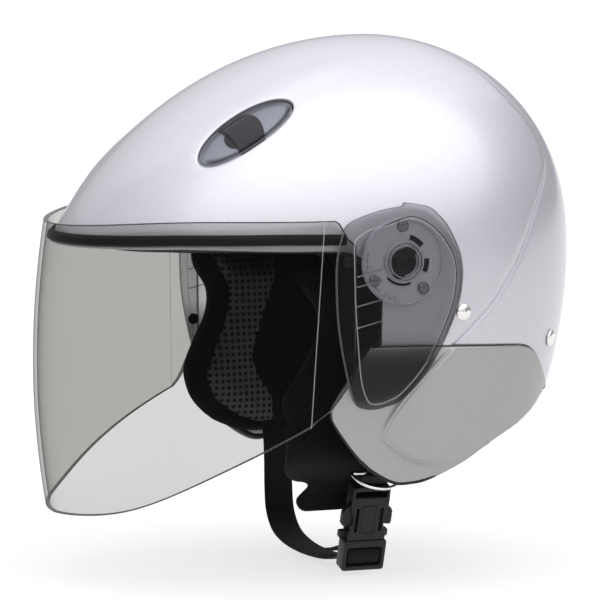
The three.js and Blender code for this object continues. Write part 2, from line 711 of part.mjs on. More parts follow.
const leftLower = solid(webbing(LEFT_STRAP_PATH, WEBBING_WIDTH, WEBBING_THICKNESS, 14));
const leftStrap = webbingInsideShell().add(leftLower);
add('chin_strap_left', geometryOf(leftStrap), 'black');
const rightUpper = solid(mirrored(geometryOf(webbingInsideShell())));
const rightLower = solid(webbing(RIGHT_STRAP_PATH, WEBBING_WIDTH, WEBBING_THICKNESS, 24));
const rightStrap = rightUpper.add(rightLower);
add('chin_strap_right', geometryOf(rightStrap), 'black');
add('strap_tail', webbing(TAIL_PATH, WEBBING_WIDTH, WEBBING_THICKNESS, 10), 'black');
add('strap_flap', webbing(FLAP_PATH, WEBBING_WIDTH, WEBBING_THICKNESS, 6), 'black');

const STRAP_PAD_PATH = [[63, -8, -120.2], [56, -8.5, -125], [51.5, -9, -134], [48, -9.5, -145]];
add('strap_pad', webbing(STRAP_PAD_PATH, 36, 4, 6), 'fabric');

// ---------------------------------------------------------------- buckle
// Built flat: x is its width, y runs up the strap, z is its face. Then it is hung on the strap.
const BUCKLE_TOP = new THREE.Vector3(68, 6, -129.6);
const BUCKLE_LEAN = THREE.MathUtils.degToRad(18);
const buckle = new THREE.Group();
buckle.position.copy(BUCKLE_TOP);
buckle.quaternion.setFromRotationMatrix(new THREE.Matrix4().makeBasis(
  new THREE.Vector3(0, 1, 0),
  new THREE.Vector3(Math.sin(BUCKLE_LEAN), 0, Math.cos(BUCKLE_LEAN)),
  new THREE.Vector3(Math.cos(BUCKLE_LEAN), 0, -Math.sin(BUCKLE_LEAN)),
));
helmet.add(buckle);

const HOUSING_WIDTH = 22;
const HOUSING_LENGTH = 32.7;
const HOUSING_DEPTH = 9;
const CHANNEL_DEPTH = 5;
const CHANNEL_TOP = -9.5;           // the channel for the prongs is open from here down
const BLOCK_HALF_WIDTH = 12.6;
const BLOCK_LENGTH = 18.3;
const BLOCK_HALF_DEPTH = 4.8;
const WING_HALF_WIDTH = 14.5;       // the wings that stop the insert at the housing's mouth
const SLOT_HALF_WIDTH = 10;         // webbing slots
const PRONG_HINGE = [7.5, -29.3];
const PRONG_ROOT_RADIUS = 1.8;

function slab(x0, x1, y0, y1, z0, z1) {
  const geometry = new THREE.BoxGeometry(x1 - x0, y1 - y0, z1 - z0);
  geometry.translate((x0 + x1) / 2, (y0 + y1) / 2, (z0 + z1) / 2);
  return geometry;
}

function buckleHousing() {
  const half = HOUSING_WIDTH / 2;
  const body = solid(slab(-half, half, -HOUSING_LENGTH, 0, -HOUSING_DEPTH / 2, HOUSING_DEPTH / 2));
  const deep = CHANNEL_DEPTH / 2;
  const channel = solid(slab(-half - 1, half + 1, -HOUSING_LENGTH - 1, CHANNEL_TOP, -deep, deep));
  const strapSlot = solid(slab(-SLOT_HALF_WIDTH, SLOT_HALF_WIDTH, -6.5, -3, -HOUSING_DEPTH, HOUSING_DEPTH));
  return geometryOf(body.subtract(channel).subtract(strapSlot));
}

function buckleInsert() {
  const inner = CHANNEL_DEPTH / 2 - PIECE_GAP;
  const top = -HOUSING_LENGTH - PIECE_GAP;
  const boxes = [
    slab(-10.4, 10.4, top - 1, -31.6, -inner, inner),
    slab(-WING_HALF_WIDTH, WING_HALF_WIDTH, top - 0.5, -31.7, -inner, inner),
    slab(-1.2, 1.2, -32, -12, -inner, inner),
  ];
  let insert = solid(slab(
    -BLOCK_HALF_WIDTH, BLOCK_HALF_WIDTH, top - BLOCK_LENGTH, top, -BLOCK_HALF_DEPTH, BLOCK_HALF_DEPTH,
  ));
  boxes.forEach((box) => {
    insert = insert.add(solid(box));
  });
  [[-41.5, -37.5], [-48.5, -44.5]].forEach(([from, to]) => {
    insert = insert.subtract(solid(slab(-SLOT_HALF_WIDTH, SLOT_HALF_WIDTH, from, to, -9, 9)));
  });
  return geometryOf(insert);
}

// One flexible arm, for the +x side: a round root, an arm and a finger tab.
function buckleProng(side) {
  const [rootX, rootY] = PRONG_HINGE;
  const shape = new THREE.Shape();
  const startTurn = side > 0 ? Math.PI : 0;
  shape.absarc(rootX * side, rootY, PRONG_ROOT_RADIUS, startTurn, Math.PI * (side + 3) / 2, side < 0);
  const outline = [
    [9.3, -24.5], [14.5, -24], [14.5, -15.5], [12.5, -13.5], [9.6, -12], [6.6, -13.5], [5.7, -20],
  ];
  outline.forEach(([x, y]) => shape.lineTo(x * side, y));
  const depth = CHANNEL_DEPTH - 2 * PIECE_GAP;
  const geometry = new THREE.ExtrudeGeometry(shape, { depth, bevelEnabled: false, curveSegments: 8 });
  geometry.translate(0, 0, -depth / 2);
  return geometry;
}

add('buckle_housing', buckleHousing(), 'black', buckle);
add('buckle_insert', buckleInsert(), 'black', buckle);
add('buckle_prong_front', buckleProng(-1), 'black', buckle);
add('buckle_prong_rear', buckleProng(1), 'black', buckle);

// ---------------------------------------------------------------- helmet-lock ring
const RING_BAR = new THREE.Vector3(84.5, 1, -120.8);  // middle of the straight bar it swings on
const RING_HALF_WIDTH = 13;
const RING_DEPTH = 17;
const RING_WIRE = 1.3;
const RING_LEAN = THREE.MathUtils.degToRad(24);
const LOOP_RADIUS = 2.9;            // outside of the webbing loop round the bar
const LOOP_WIDTH = 10;

function lockRing() {
  const points = [];
  for (let i = 0; i <= 12; i += 1) {
    const turn = (i / 12) * Math.PI;
    const out = RING_DEPTH * Math.sin(turn) ** 0.8;
    const along = -RING_HALF_WIDTH * Math.cos(turn);
    points.push(new THREE.Vector3(out * Math.cos(RING_LEAN), along, -out * Math.sin(RING_LEAN)));
  }
  for (let i = 1; i < 4; i += 1) {
    points.push(new THREE.Vector3(0, RING_HALF_WIDTH * (1 - i / 2), 0));
  }
  const curve = new THREE.CatmullRomCurve3(points, true, 'centripetal');
  const section = new THREE.Shape();
  section.absarc(0, 0, RING_WIRE, 0, Math.PI * 2);
  return new THREE.ExtrudeGeometry(section, { steps: 26, curveSegments: 4, extrudePath: curve });
}

// The stitched webbing loop under the cheek pad that the bar turns in.
function ringLoop() {
  const shape = new THREE.Shape();
  shape.moveTo(LOOP_RADIUS, LOOP_RADIUS - 0.2);
  shape.lineTo(-LOOP_RADIUS, LOOP_RADIUS - 0.2);
  shape.absarc(0, 0, LOOP_RADIUS, Math.PI, Math.PI * 2, false);
  const hole = new THREE.Path();
  hole.absarc(0, 0, RING_WIRE + 0.4, 0, Math.PI * 2);
  shape.holes.push(hole);
  const settings = { depth: LOOP_WIDTH, bevelEnabled: false, curveSegments: 6 };
  const geometry = new THREE.ExtrudeGeometry(shape, settings);
  geometry.rotateX(Math.PI / 2);
  geometry.translate(0, LOOP_WIDTH / 2, 0);
  return geometry;
}

[add('lock_ring', lockRing(), 'chrome'), add('ring_loop', ringLoop(), 'black')].forEach((piece) => {
  piece.position.copy(RING_BAR);
});

export default helmet;
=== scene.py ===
"""Looks of an open face motorcycle helmet: silver shell, clear visor on smoked covers, lining and chin strap.

Lengths are in millimetres and are turned into metres when a mesh is made. The frame is the CAD model's: the wearer
looks along -Y, +X is the wearer's left, and the origin is midway between the two visor pivots.
"""
import math
from collections import namedtuple

import bpy
import numpy as np
from mathutils import Matrix, Vector
from mathutils.geometry import delaunay_2d_cdt


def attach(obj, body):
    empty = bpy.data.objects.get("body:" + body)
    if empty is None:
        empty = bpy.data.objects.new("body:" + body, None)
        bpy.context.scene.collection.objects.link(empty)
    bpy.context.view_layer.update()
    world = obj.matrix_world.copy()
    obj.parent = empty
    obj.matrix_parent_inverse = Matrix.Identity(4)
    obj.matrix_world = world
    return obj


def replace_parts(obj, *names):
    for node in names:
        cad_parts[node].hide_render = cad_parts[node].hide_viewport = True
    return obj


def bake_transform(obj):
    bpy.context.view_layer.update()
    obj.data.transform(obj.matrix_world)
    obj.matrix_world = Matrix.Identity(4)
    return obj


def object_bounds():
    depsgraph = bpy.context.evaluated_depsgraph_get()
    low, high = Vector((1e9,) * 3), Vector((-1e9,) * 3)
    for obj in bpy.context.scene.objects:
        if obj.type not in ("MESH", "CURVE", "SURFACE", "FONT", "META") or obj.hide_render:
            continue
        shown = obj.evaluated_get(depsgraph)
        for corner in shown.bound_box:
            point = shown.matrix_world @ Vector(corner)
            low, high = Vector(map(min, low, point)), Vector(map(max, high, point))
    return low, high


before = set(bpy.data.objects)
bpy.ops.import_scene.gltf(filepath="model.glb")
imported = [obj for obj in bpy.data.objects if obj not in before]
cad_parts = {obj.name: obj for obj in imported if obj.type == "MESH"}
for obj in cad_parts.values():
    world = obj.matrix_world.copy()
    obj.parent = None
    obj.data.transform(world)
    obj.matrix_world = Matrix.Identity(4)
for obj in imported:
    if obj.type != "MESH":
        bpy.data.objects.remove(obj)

CAD_BOX = [list(corner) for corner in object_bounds()]
MM = 0.001

# ---------------------------------------------------------------- sizes shared with the CAD model
SHELL_TOP = 118.5
SHELL_CENTRE_Y = 30.5
SHELL_ROUNDNESS = 2.12
Way = namedtuple("Way", "radius power level tuck inset_share")
FRONT = Way(191.5, 1.35, -16.5, 0.05, 1.25)
BACK = Way(105.5, 2.25, 8.5, 0.2, 1.1)
SIDE = Way(126, 2.5, -16.5, 0.1, 1)
SHELL_THICKNESS = 4
PANEL_THICKNESS = 3.2
FLANGE_OUTER = 3.6
FLANGE_INNER = 6.4
LINER_OUTER, LINER_INNER = 4.4, 30
CROWN_OUTER, CROWN_INNER = 30.4, 38
CHEEK_OUTER, CHEEK_INNER = 10, 42
NECK_OUTER, NECK_INNER = 9.5, 32
TRIM_WIDTH = 2.9
TEMPLE_Y = -10
TEMPLE_TOP = -17.5
TEMPLE_BOTTOM = -46
REAR_EDGE_Z = -74
CORNER_RADIUS = 23
BROW = [
    (-220, 1.5), (-150, 4.6), (-110, 6.4), (-60, 5.6), (TEMPLE_Y - CORNER_RADIUS, TEMPLE_TOP + CORNER_RADIUS),
]
GAP_LINE = [(TEMPLE_Y, TEMPLE_BOTTOM), (20, -46.2), (60, -47.6), (76, -48.8), (84, -52), (90, -58.5), (100.5, -74)]
PANEL_FREE_EDGE = [
    (91, -81.5), (76, -91.2), (57, -101), (42, -111), (23, -121), (12, -123.4), (3.4, -123.2), (-7, -118),
    (-16.6, -110), (-29.5, -93.3), (-34, -84.5), (-32.4, -76.1), (-21.8, -57.5), (-14.8, -46.5),
]
LINER_EDGE = [
    (-220, 2), (-150, 5.5), (-110, 7.5), (-60, 7), (-36, 7), (-16, -4), (-8, -6.5), (50, -7.5), (64, -38),
    (220, -38),
]
CROWN_EDGE = [(-220, 4), (-150, 7.5), (-60, 9), (-34, 9), (20, 4), (48, -4), (66, -30), (220, -34)]
CHEEK_OUTLINE = [
    (-34, -1), (-36, -12), (-27.5, -36), (-38, -64), (-44, -80), (-38, -97), (-22, -109.5), (-6, -115.5),
    (9, -116.5), (24, -114), (42, -105), (56, -96), (64, -86), (64, -62), (58, -40), (46, -14), (28, -10.5),
    (-8, -10.5), (-20, -3),
]
NECK_TOP_Z = -40
NECK_BOTTOM = [(69, -90), (88, -79), (102, -73), (140, -73)]

VENT_NORMAL = np.array([0.535, -0.43, 0.727])
VENT_START = np.array([66.0, -68.0, 69.0])
VENT_HALF_LENGTH = 30.5
VENT_HALF_WIDTH = 13.2
VENT_ROUNDNESS = 2.1
VENT_FILL = 0.975          # size of the tray and the cover as a share of the opening
VENT_TRAY_TOP, VENT_TRAY_BOTTOM = -1.7, -2.9
VENT_COVER_RISE = 4.2
VENT_HOOD_HALF_WIDTH = 12.2
VENT_DROP = 0.9

PLATE_RADIUS = 24
PLATE_INNER_X, PLATE_OUTER_X = 126.2, 127.9
HUB_TOP_X = 131.5
HUB_RADIUS = 5.4
BASE_SCREWS = [(-0.5, 19.4), (11.6, -14.5), (-17, -10)]
COVER_OUTLINE = [
    (-0.6, 30.2), (0.4, 31.9), (14, 29.6), (20.5, 25.1), (26.5, 18), (33.5, 3), (34.6, -12), (30.2, -30),
    (17, -56.5), (1.8, -73.8), (-9.2, -78.8), (-19, -79.8), (-26, -75.8), (-30.8, -60.3), (-35, -38),
    (-36.4, -18), (-36.3, 0), (-33, 16), (-27.8, 22.4), (-13, 27.8),
]
COVER_RIM_X = 127.4
COVER_THICKNESS = 2.4
COVER_SCREWS = {"upper": (-29.5, 0), "lower": (-28, -52)}

VISOR_THICKNESS = 2.2
WEBBING_WIDTH = 19
WEBBING_THICKNESS = 1.8
SLIT_PATH = [
    (114, 25.5, -62), (112.9, 23, -72), (108, 18.5, -85), (97, 13, -100), (84, 9.5, -112), (77.5, 8, -121),
]
STRAP_RIVET = (36, -28.6)
REAR_RIVET = (99.5, -47.3)
BUCKLE_TOP = Vector((68, 6, -128))
BUCKLE_LEAN = math.radians(18)
RING_BAR = np.array([84.5, 1, -119.4])
RING_LEAN = math.radians(24)


# ---------------------------------------------------------------- the shell's surface
def profile_radius(z, way, inset):
    """How far the shell reaches one way at a height: an arch above the way's level, a tucked skirt below it."""
    top = SHELL_TOP - inset
    rise = np.clip((z - way.level) / (top - way.level), 0, 1)
    drop = np.clip((way.level - z) / 100, 0, 2)
    above = np.sqrt(np.maximum(1e-9, 1 - rise**way.power))
    return (way.radius - way.inset_share * inset) * above * (1 - way.tuck * drop**2)


def shell_radius(angle, z, inset=0):
    """Plan radius at an angle from straight ahead."""
    ahead, aside = np.cos(angle), np.sin(angle)
    front, back, side = (profile_radius(z, way, inset) for way in (FRONT, BACK, SIDE))
    length = 1 / ((1 + ahead) / 2 / front + (1 - ahead) / 2 / back)
    total = np.abs(ahead / length) ** SHELL_ROUNDNESS + np.abs(aside / side) ** SHELL_ROUNDNESS
    return total ** (-1 / SHELL_ROUNDNESS)


def shell_point(angle, z, inset=0):
    radius = shell_radius(angle, z, inset)
    return np.stack([radius * np.sin(angle), SHELL_CENTRE_Y - radius * np.cos(angle), z + 0 * angle], -1)


def outside_by(points, inset=0):
    """Roughly how far points lie outside the surface, in plan."""
    ahead = SHELL_CENTRE_Y - points[..., 1]
    angle = np.arctan2(points[..., 0], ahead)
    out = np.hypot(points[..., 0], ahead) - shell_radius(angle, points[..., 2], inset)
    return np.where(points[..., 2] < SHELL_TOP - inset, out, 50.0)


def surface_from(start, direction, inset=0, low=-60.0, high=60.0):
    """Where a line through each start meets the surface, by halving."""
    start = np.atleast_2d(np.asarray(start, float))
    near, far = np.full(len(start), low), np.full(len(start), high)
    for _ in range(34):
        middle = (near + far) / 2
        inside = outside_by(start + middle[:, None] * direction, inset) < 0
        near, far = np.where(inside, middle, near), np.where(inside, far, middle)
    return start + near[:, None] * direction


def on_side(outline, inset=0):
    """The surface points over a side-view outline of (y, z), on the +X side."""
    outline = np.asarray(outline, float)
    start = np.column_stack([np.full(len(outline), 100.0), outline])
    return surface_from(start, np.array([1.0, 0, 0]), inset, -100.0, 100.0)


def surface_normal(points, inset=0, step=0.3):
    shifts = np.eye(3) * step
    slopes = [outside_by(points + s, inset) - outside_by(points - s, inset) for s in shifts]
    normal = np.stack(slopes, -1)
    return normal / np.linalg.norm(normal, axis=-1, keepdims=True)


# The crown plane: a flat map of the shell, with the crown in the middle and the front towards -v.
SKIRT_REACH = 190.0


def crown_place(uv, inset):
    reach, angle = np.hypot(uv[:, 0], uv[:, 1]), np.arctan2(uv[:, 0], -uv[:, 1])
    above = SIDE.level + (SHELL_TOP - inset - SIDE.level) * np.cos(np.clip(reach / SKIRT_REACH, 0, 1) * math.pi / 2)
    return shell_point(angle, np.where(reach < SKIRT_REACH, above, SIDE.level + SKIRT_REACH - reach), inset)


def crown_plane(points):
    angle = np.arctan2(points[:, 0], SHELL_CENTRE_Y - points[:, 1])
    share = np.clip((points[:, 2] - SIDE.level) / (SHELL_TOP - SIDE.level), 0, 1)
    below = np.maximum(0, SIDE.level - points[:, 2])
    reach = SKIRT_REACH * np.arccos(share) * 2 / math.pi + below
    return np.column_stack([reach * np.sin(angle), -reach * np.cos(angle)])


# ---------------------------------------------------------------- flat outlines
def curve(points, step, closed=False):
    """Evenly spaced points on a smooth curve through the given ones."""
    p = np.asarray(points, float)
    p = np.vstack([p[-1:], p, p[:2]]) if closed else np.vstack([2 * p[0] - p[1], p, 2 * p[-1] - p[-2]])
    t = np.linspace(0, 1, 24, endpoint=False)[:, None]
    spans = [
        0.5 * (2 * b + (c - a) * t + (2 * a - 5 * b + 4 * c - d) * t**2 + (3 * b - a - 3 * c + d) * t**3)
        for a, b, c, d in zip(p, p[1:], p[2:], p[3:])
    ]
    return even(np.vstack([*spans, p[-2:-1]]), step)[: -1 if closed else None]


def even(points, step):
    """The same line with evenly spaced points."""
    points = np.asarray(points, float)
    along = np.r_[0, np.cumsum(np.linalg.norm(np.diff(points, axis=0), axis=1))]
    at = np.linspace(0, along[-1], max(2, round(along[-1] / step) + 1))
    return np.column_stack([np.interp(at, along, column) for column in points.T])


def turned_arc(centre, radius, first, last, count):
    turn = np.radians(np.linspace(first, last, count))
    return np.column_stack([centre[0] + radius * np.cos(turn), centre[1] + radius * np.sin(turn)])


def joined(*lines):
    """One line from several that follow each other, without the doubled ends."""
    points = np.vstack(lines)
    keep = np.r_[True, np.linalg.norm(np.diff(points, axis=0), axis=1) > 1e-3]
    return points[keep]


def closed_loop(points):
    return points[:-1] if np.linalg.norm(points[0] - points[-1]) < 1e-3 else points


def nearest(points, line):
    """Each point's distance to a line, positive on the line's left, and how far along it, from 0 to 1."""
    start, step = line[:-1], np.diff(line, axis=0)
    square = np.maximum(1e-12, (step**2).sum(1))
    along = np.r_[0, np.cumsum(np.sqrt(square))]
    distance, share = np.empty(len(points)), np.empty(len(points))
    for first in range(0, len(points), 3000):
        rel = points[first : first + 3000, None] - start
        t = np.clip((rel * step).sum(-1) / square, 0, 1)
        gap = ((rel - t[..., None] * step) ** 2).sum(-1)
        best = gap.argmin(1)
        row = np.arange(len(best))
        side = step[best, 0] * rel[row, best, 1] - step[best, 1] * rel[row, best, 0]
        distance[first : first + 3000] = np.sqrt(gap[row, best]) * np.where(side < 0, -1, 1)
        share[first : first + 3000] = (along[best] + t[row, best] * np.sqrt(square[best])) / along[-1]
    return distance, share


def inside(points, loop):
    a, b = loop, np.roll(loop, -1, axis=0)
    found = np.zeros(len(points), bool)
    for (ay, az), (by, bz) in zip(a, b):
        if az != bz:
            crosses = (az > points[:, 1]) != (bz > points[:, 1])
            found ^= crosses & (points[:, 0] < (by - ay) * (points[:, 1] - az) / (bz - az) + ay)
    return found


def ring_of(loop):
    return np.vstack([loop, loop[:1]])


def filled(loops, spacing, lines=()):
    """Triangles that fill the first loop, with the other loops as holes and with edges along the lines."""
    coords, edges = [], []
    for loop in loops:
        first, count = sum(map(len, coords)), len(loop)
        coords.append(loop)
        edges += [(first + i, first + (i + 1) % count) for i in range(count)]
    for line in lines:
        first = sum(map(len, coords))
        coords.append(line)
        edges += [(first + i, first + i + 1) for i in range(len(line) - 1)]
    low, high = loops[0].min(0), loops[0].max(0)
    rows = []
    for i, height in enumerate(np.arange(low[1], high[1], spacing * 0.866)):
        across = np.arange(low[0] + spacing * (i % 2) / 2, high[0], spacing)
        rows.append(np.column_stack([across, np.full(len(across), height)]))
    grid = np.vstack(rows)
    keep = inside(grid, loops[0])
    for line in [*map(ring_of, loops), *lines]:
        keep[keep] = np.abs(nearest(grid[keep], line)[0]) > spacing * 0.55
    coords.append(grid[keep])
    points, _, faces, *_ = delaunay_2d_cdt([Vector(p) for p in np.vstack(coords)], edges, [], 0, 1e-5)
    points, faces = np.array([tuple(p) for p in points]), np.array(faces)
    middle = points[faces].mean(1)
    keep = inside(middle, loops[0])
    for hole in loops[1:]:
        keep &= ~inside(middle, hole)
    faces = faces[keep]
    a, b, c = (points[faces[:, i]] for i in range(3))
    flipped = (b - a)[:, 0] * (c - a)[:, 1] - (b - a)[:, 1] * (c - a)[:, 0] < 0
    faces[flipped] = faces[flipped][:, ::-1]
    used, packed = np.unique(faces, return_inverse=True)
    return points[used], packed.reshape(-1, 3)


# ---------------------------------------------------------------- meshes
def vertex_normals(points, faces):
    a, b, c = (points[faces[:, i]] for i in range(3))
    face = np.cross(b - a, c - a)
    normal = np.zeros_like(points)
    for i in range(3):
        np.add.at(normal, faces[:, i], face)
    return normal / np.maximum(1e-12, np.linalg.norm(normal, axis=1, keepdims=True))


def boundary_loops(faces):
    """The open edges of a triangle mesh as loops of vertices, with the mesh on their left."""
    edges = np.vstack([faces[:, [0, 1]], faces[:, [1, 2]], faces[:, [2, 0]]])
    pairs = set(map(tuple, edges.tolist()))
    after = {a: b for a, b in pairs if (b, a) not in pairs}
    loops = []
    while after:
        start, here = next(iter(after.items()))
        loop = [start]
        del after[start]
        while here != start:
            loop.append(here)
            here = after.pop(here)
        loops.append(np.array(loop))
    return loops


def slab(uv, faces, place, outer, inner, radius, height=None, steps=4):
    """A closed body between two depths of a surface, with rounded rims. Height lifts its outer face."""
    top, bottom = place(uv, outer), place(uv, inner)
    normal = vertex_normals(top, faces)
    if (normal * (top - bottom)).sum() < 0:
        faces = faces[:, ::-1]
        normal = -normal
    if height is not None:
        top = top + normal * height[:, None]
    count = len(uv)
    points, quads = [top.copy(), bottom.copy()], []
    quarter = np.linspace(0, math.pi / 2, steps + 1)[1:]
    for loop in boundary_loops(faces):
        tangent = np.roll(top[loop], -1, axis=0) - np.roll(top[loop], 1, axis=0)
        outward = np.cross(tangent, normal[loop])
        outward /= np.maximum(1e-9, np.linalg.norm(outward, axis=1, keepdims=True))
        drop = bottom[loop] - top[loop]
        depth = np.linalg.norm(drop, axis=1, keepdims=True)
        r = min(radius, depth.min() / 2)
        points[0][loop] = top[loop] - outward * r
        points[1][loop] = bottom[loop] - outward * r
        rows = [(r * math.sin(q) - r, r * (1 - math.cos(q)) / depth) for q in quarter]
        rows += [(out, 1 - share) for out, share in rows[::-1]][0 if r < depth.max() / 2 - 1e-6 else 1 :]
        before = loop
        for out, share in rows:
            first = sum(map(len, points))
            points.append(top[loop] + drop * share + outward * out)
            here = first + np.arange(len(loop))
            quads.append(np.column_stack([before, here, np.roll(here, -1), np.roll(before, -1)]))
            before = here
        last = loop + count
        quads.append(np.column_stack([before, last, np.roll(last, -1), np.roll(before, -1)]))
    return np.vstack(points), [*faces.tolist(), *(faces[:, ::-1] + count).tolist(), *np.vstack(quads).tolist()]


END_TURNS = np.radians([8, 30, 55, 75])    # the sections that round off a sweep's open ends


def bowed(value, power):
    """A sine or cosine swollen so that the curve it draws is fuller than an ellipse."""
    return np.sign(value) * np.abs(value) ** (2 / power)


def sweep(path, up, section, closed=False):
    """A body along a path; the section's points are (sideways, up), with sideways = path direction x up."""
    path, up, section = (np.asarray(a, float) for a in (path, up, section))
    if closed:
        along = np.roll(path, -1, axis=0) - np.roll(path, 1, axis=0)
    else:
        along = np.gradient(path, axis=0)
    along /= np.linalg.norm(along, axis=1, keepdims=True)
    side = np.cross(along, up)
    side /= np.linalg.norm(side, axis=1, keepdims=True)
    over = np.cross(side, along)
    sizes, stations = np.ones(len(path)), path
    if not closed:
        bulge = min(np.abs(section).min(1).max(), np.ptp(section, axis=0).min() / 2)
        reach = (bulge * np.cos(END_TURNS))[:, None]
        stations = np.vstack([path[:1] - along[:1] * reach, path, path[-1:] + along[-1:] * reach[::-1]])
        narrowing = np.sin(END_TURNS) * 0.5 + 0.5
        sizes = np.r_[narrowing, sizes, narrowing[::-1]]
        extra = len(END_TURNS)
        side, over = (np.pad(axis, ((extra, extra), (0, 0)), mode="edge") for axis in (side, over))
    rows = stations[:, None] + sizes[:, None, None] * (
        section[None, :, :1] * side[:, None] + section[None, :, 1:] * over[:, None]
    )
    count, width = len(stations), len(section)
    index = np.arange(count * width).reshape(count, width)
    after = np.roll(index, -1, axis=0) if closed else index[1:]
    here = index if closed else index[:-1]
    quads = np.stack([here, np.roll(here, -1, 1), np.roll(after, -1, 1), after], -1).reshape(-1, 4).tolist()
    if not closed:
        quads += [index[0][::-1].tolist(), index[-1].tolist()]
    return rows.reshape(-1, 3), quads


def rounded_section(width, height, power=4, count=20):
    turn = np.linspace(0, 2 * math.pi, count, endpoint=False)
    return np.column_stack([bowed(np.cos(turn), power) * width / 2, bowed(np.sin(turn), power) * height / 2])


def turned(profile, sides=48):
    """A lathe body about +Z from (radius, height) steps that start and end on the axis."""
    profile = np.asarray(profile, float)
    ring = profile[1:-1]
    turn = np.linspace(0, 2 * math.pi, sides, endpoint=False)
    rows = np.stack([ring[:, :1] * np.cos(turn), ring[:, :1] * np.sin(turn), ring[:, 1:] + 0 * turn], -1)
    points = np.vstack([rows.reshape(-1, 3), [[0, 0, profile[0, 1]], [0, 0, profile[-1, 1]]]])
    index = np.arange(len(ring) * sides).reshape(len(ring), sides)
    quads = np.stack([index[:-1], np.roll(index[:-1], -1, 1), np.roll(index[1:], -1, 1), index[1:]], -1)
    quads = quads.reshape(-1, 4).tolist()
    base, tip = len(ring) * sides, len(ring) * sides + 1
    quads += [[index[0, (i + 1) % sides], index[0, i], base] for i in range(sides)]
    quads += [[index[-1, i], index[-1, (i + 1) % sides], tip] for i in range(sides)]
    return points, quads


def merged(*bodies):
    points, faces, first = [], [], 0
    for body_points, body_faces in bodies:
        points.append(body_points)
        faces += [[i + first for i in face] for face in body_faces]
        first += len(body_points)
    return np.vstack(points), faces


def moved(body, matrix):
    turn = np.array(matrix.to_3x3())
    return body[0] @ turn.T + np.array(matrix.translation), body[1]


def mirrored(body):
    return body[0] * [-1, 1, 1], [list(face)[::-1] for face in body[1]]


def upright(spot, direction):
    """The matrix that stands +Z on a spot along a direction."""
    turn = Vector(direction).to_track_quat("Z", "Y").to_matrix().to_4x4()
    return Matrix.Translation(Vector(spot)) @ turn


def mesh_object(name, body, crisp=None):
    points, faces = body
    mesh = bpy.data.meshes.new(name)
    mesh.from_pydata((np.asarray(points) * MM).tolist(), [], faces)
    mesh.shade_smooth()
    if crisp:
        mesh.set_sharp_from_angle(angle=math.radians(crisp))
    piece = bpy.data.objects.new(name, mesh)
    bpy.context.scene.collection.objects.link(piece)
    return piece


def fit(piece, body, slot, finish, *nodes):
    """Paints a finished piece, makes it ride on its body and stand for its CAD nodes."""
    piece.data.materials.clear()
    piece.data.materials.append(finish)
    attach(piece, body)
    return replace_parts(piece, *nodes)


def mark(piece, name, values):
    """Gives each vertex a number that the materials read."""
    layer = piece.data.attributes.new(name, "FLOAT", "POINT")
    layer.data.foreach_set("value", np.asarray(values, np.float32))


def add(name, body, rides, slot, finish, crisp=None, marks=None):
    piece = mesh_object(name, body, crisp)
    for label, values in (marks or {}).items():
        mark(piece, label, values)
    return fit(piece, rides, slot, finish, name)


def add_pair(name, body, rides, slot, finish, crisp=None, marks=None):
    for side, shape in (("left", body), ("right", mirrored(body))):
        add(f"{name}_{side}", shape, rides, slot, finish, crisp, marks)


def sheet_marks(body, skin_points, **outer):
    """Marks for a clear slab: its rim, whose points come after its two skins, and values on the outer skin."""
    # The rim mark is painted grey by the clear materials: painted shade along the rims.
    marks = {"edge": np.arange(len(body[0])) >= 2 * skin_points}
    for label, values in outer.items():
        marks[label] = np.zeros(len(body[0]))
        marks[label][:skin_points] = values
    return marks


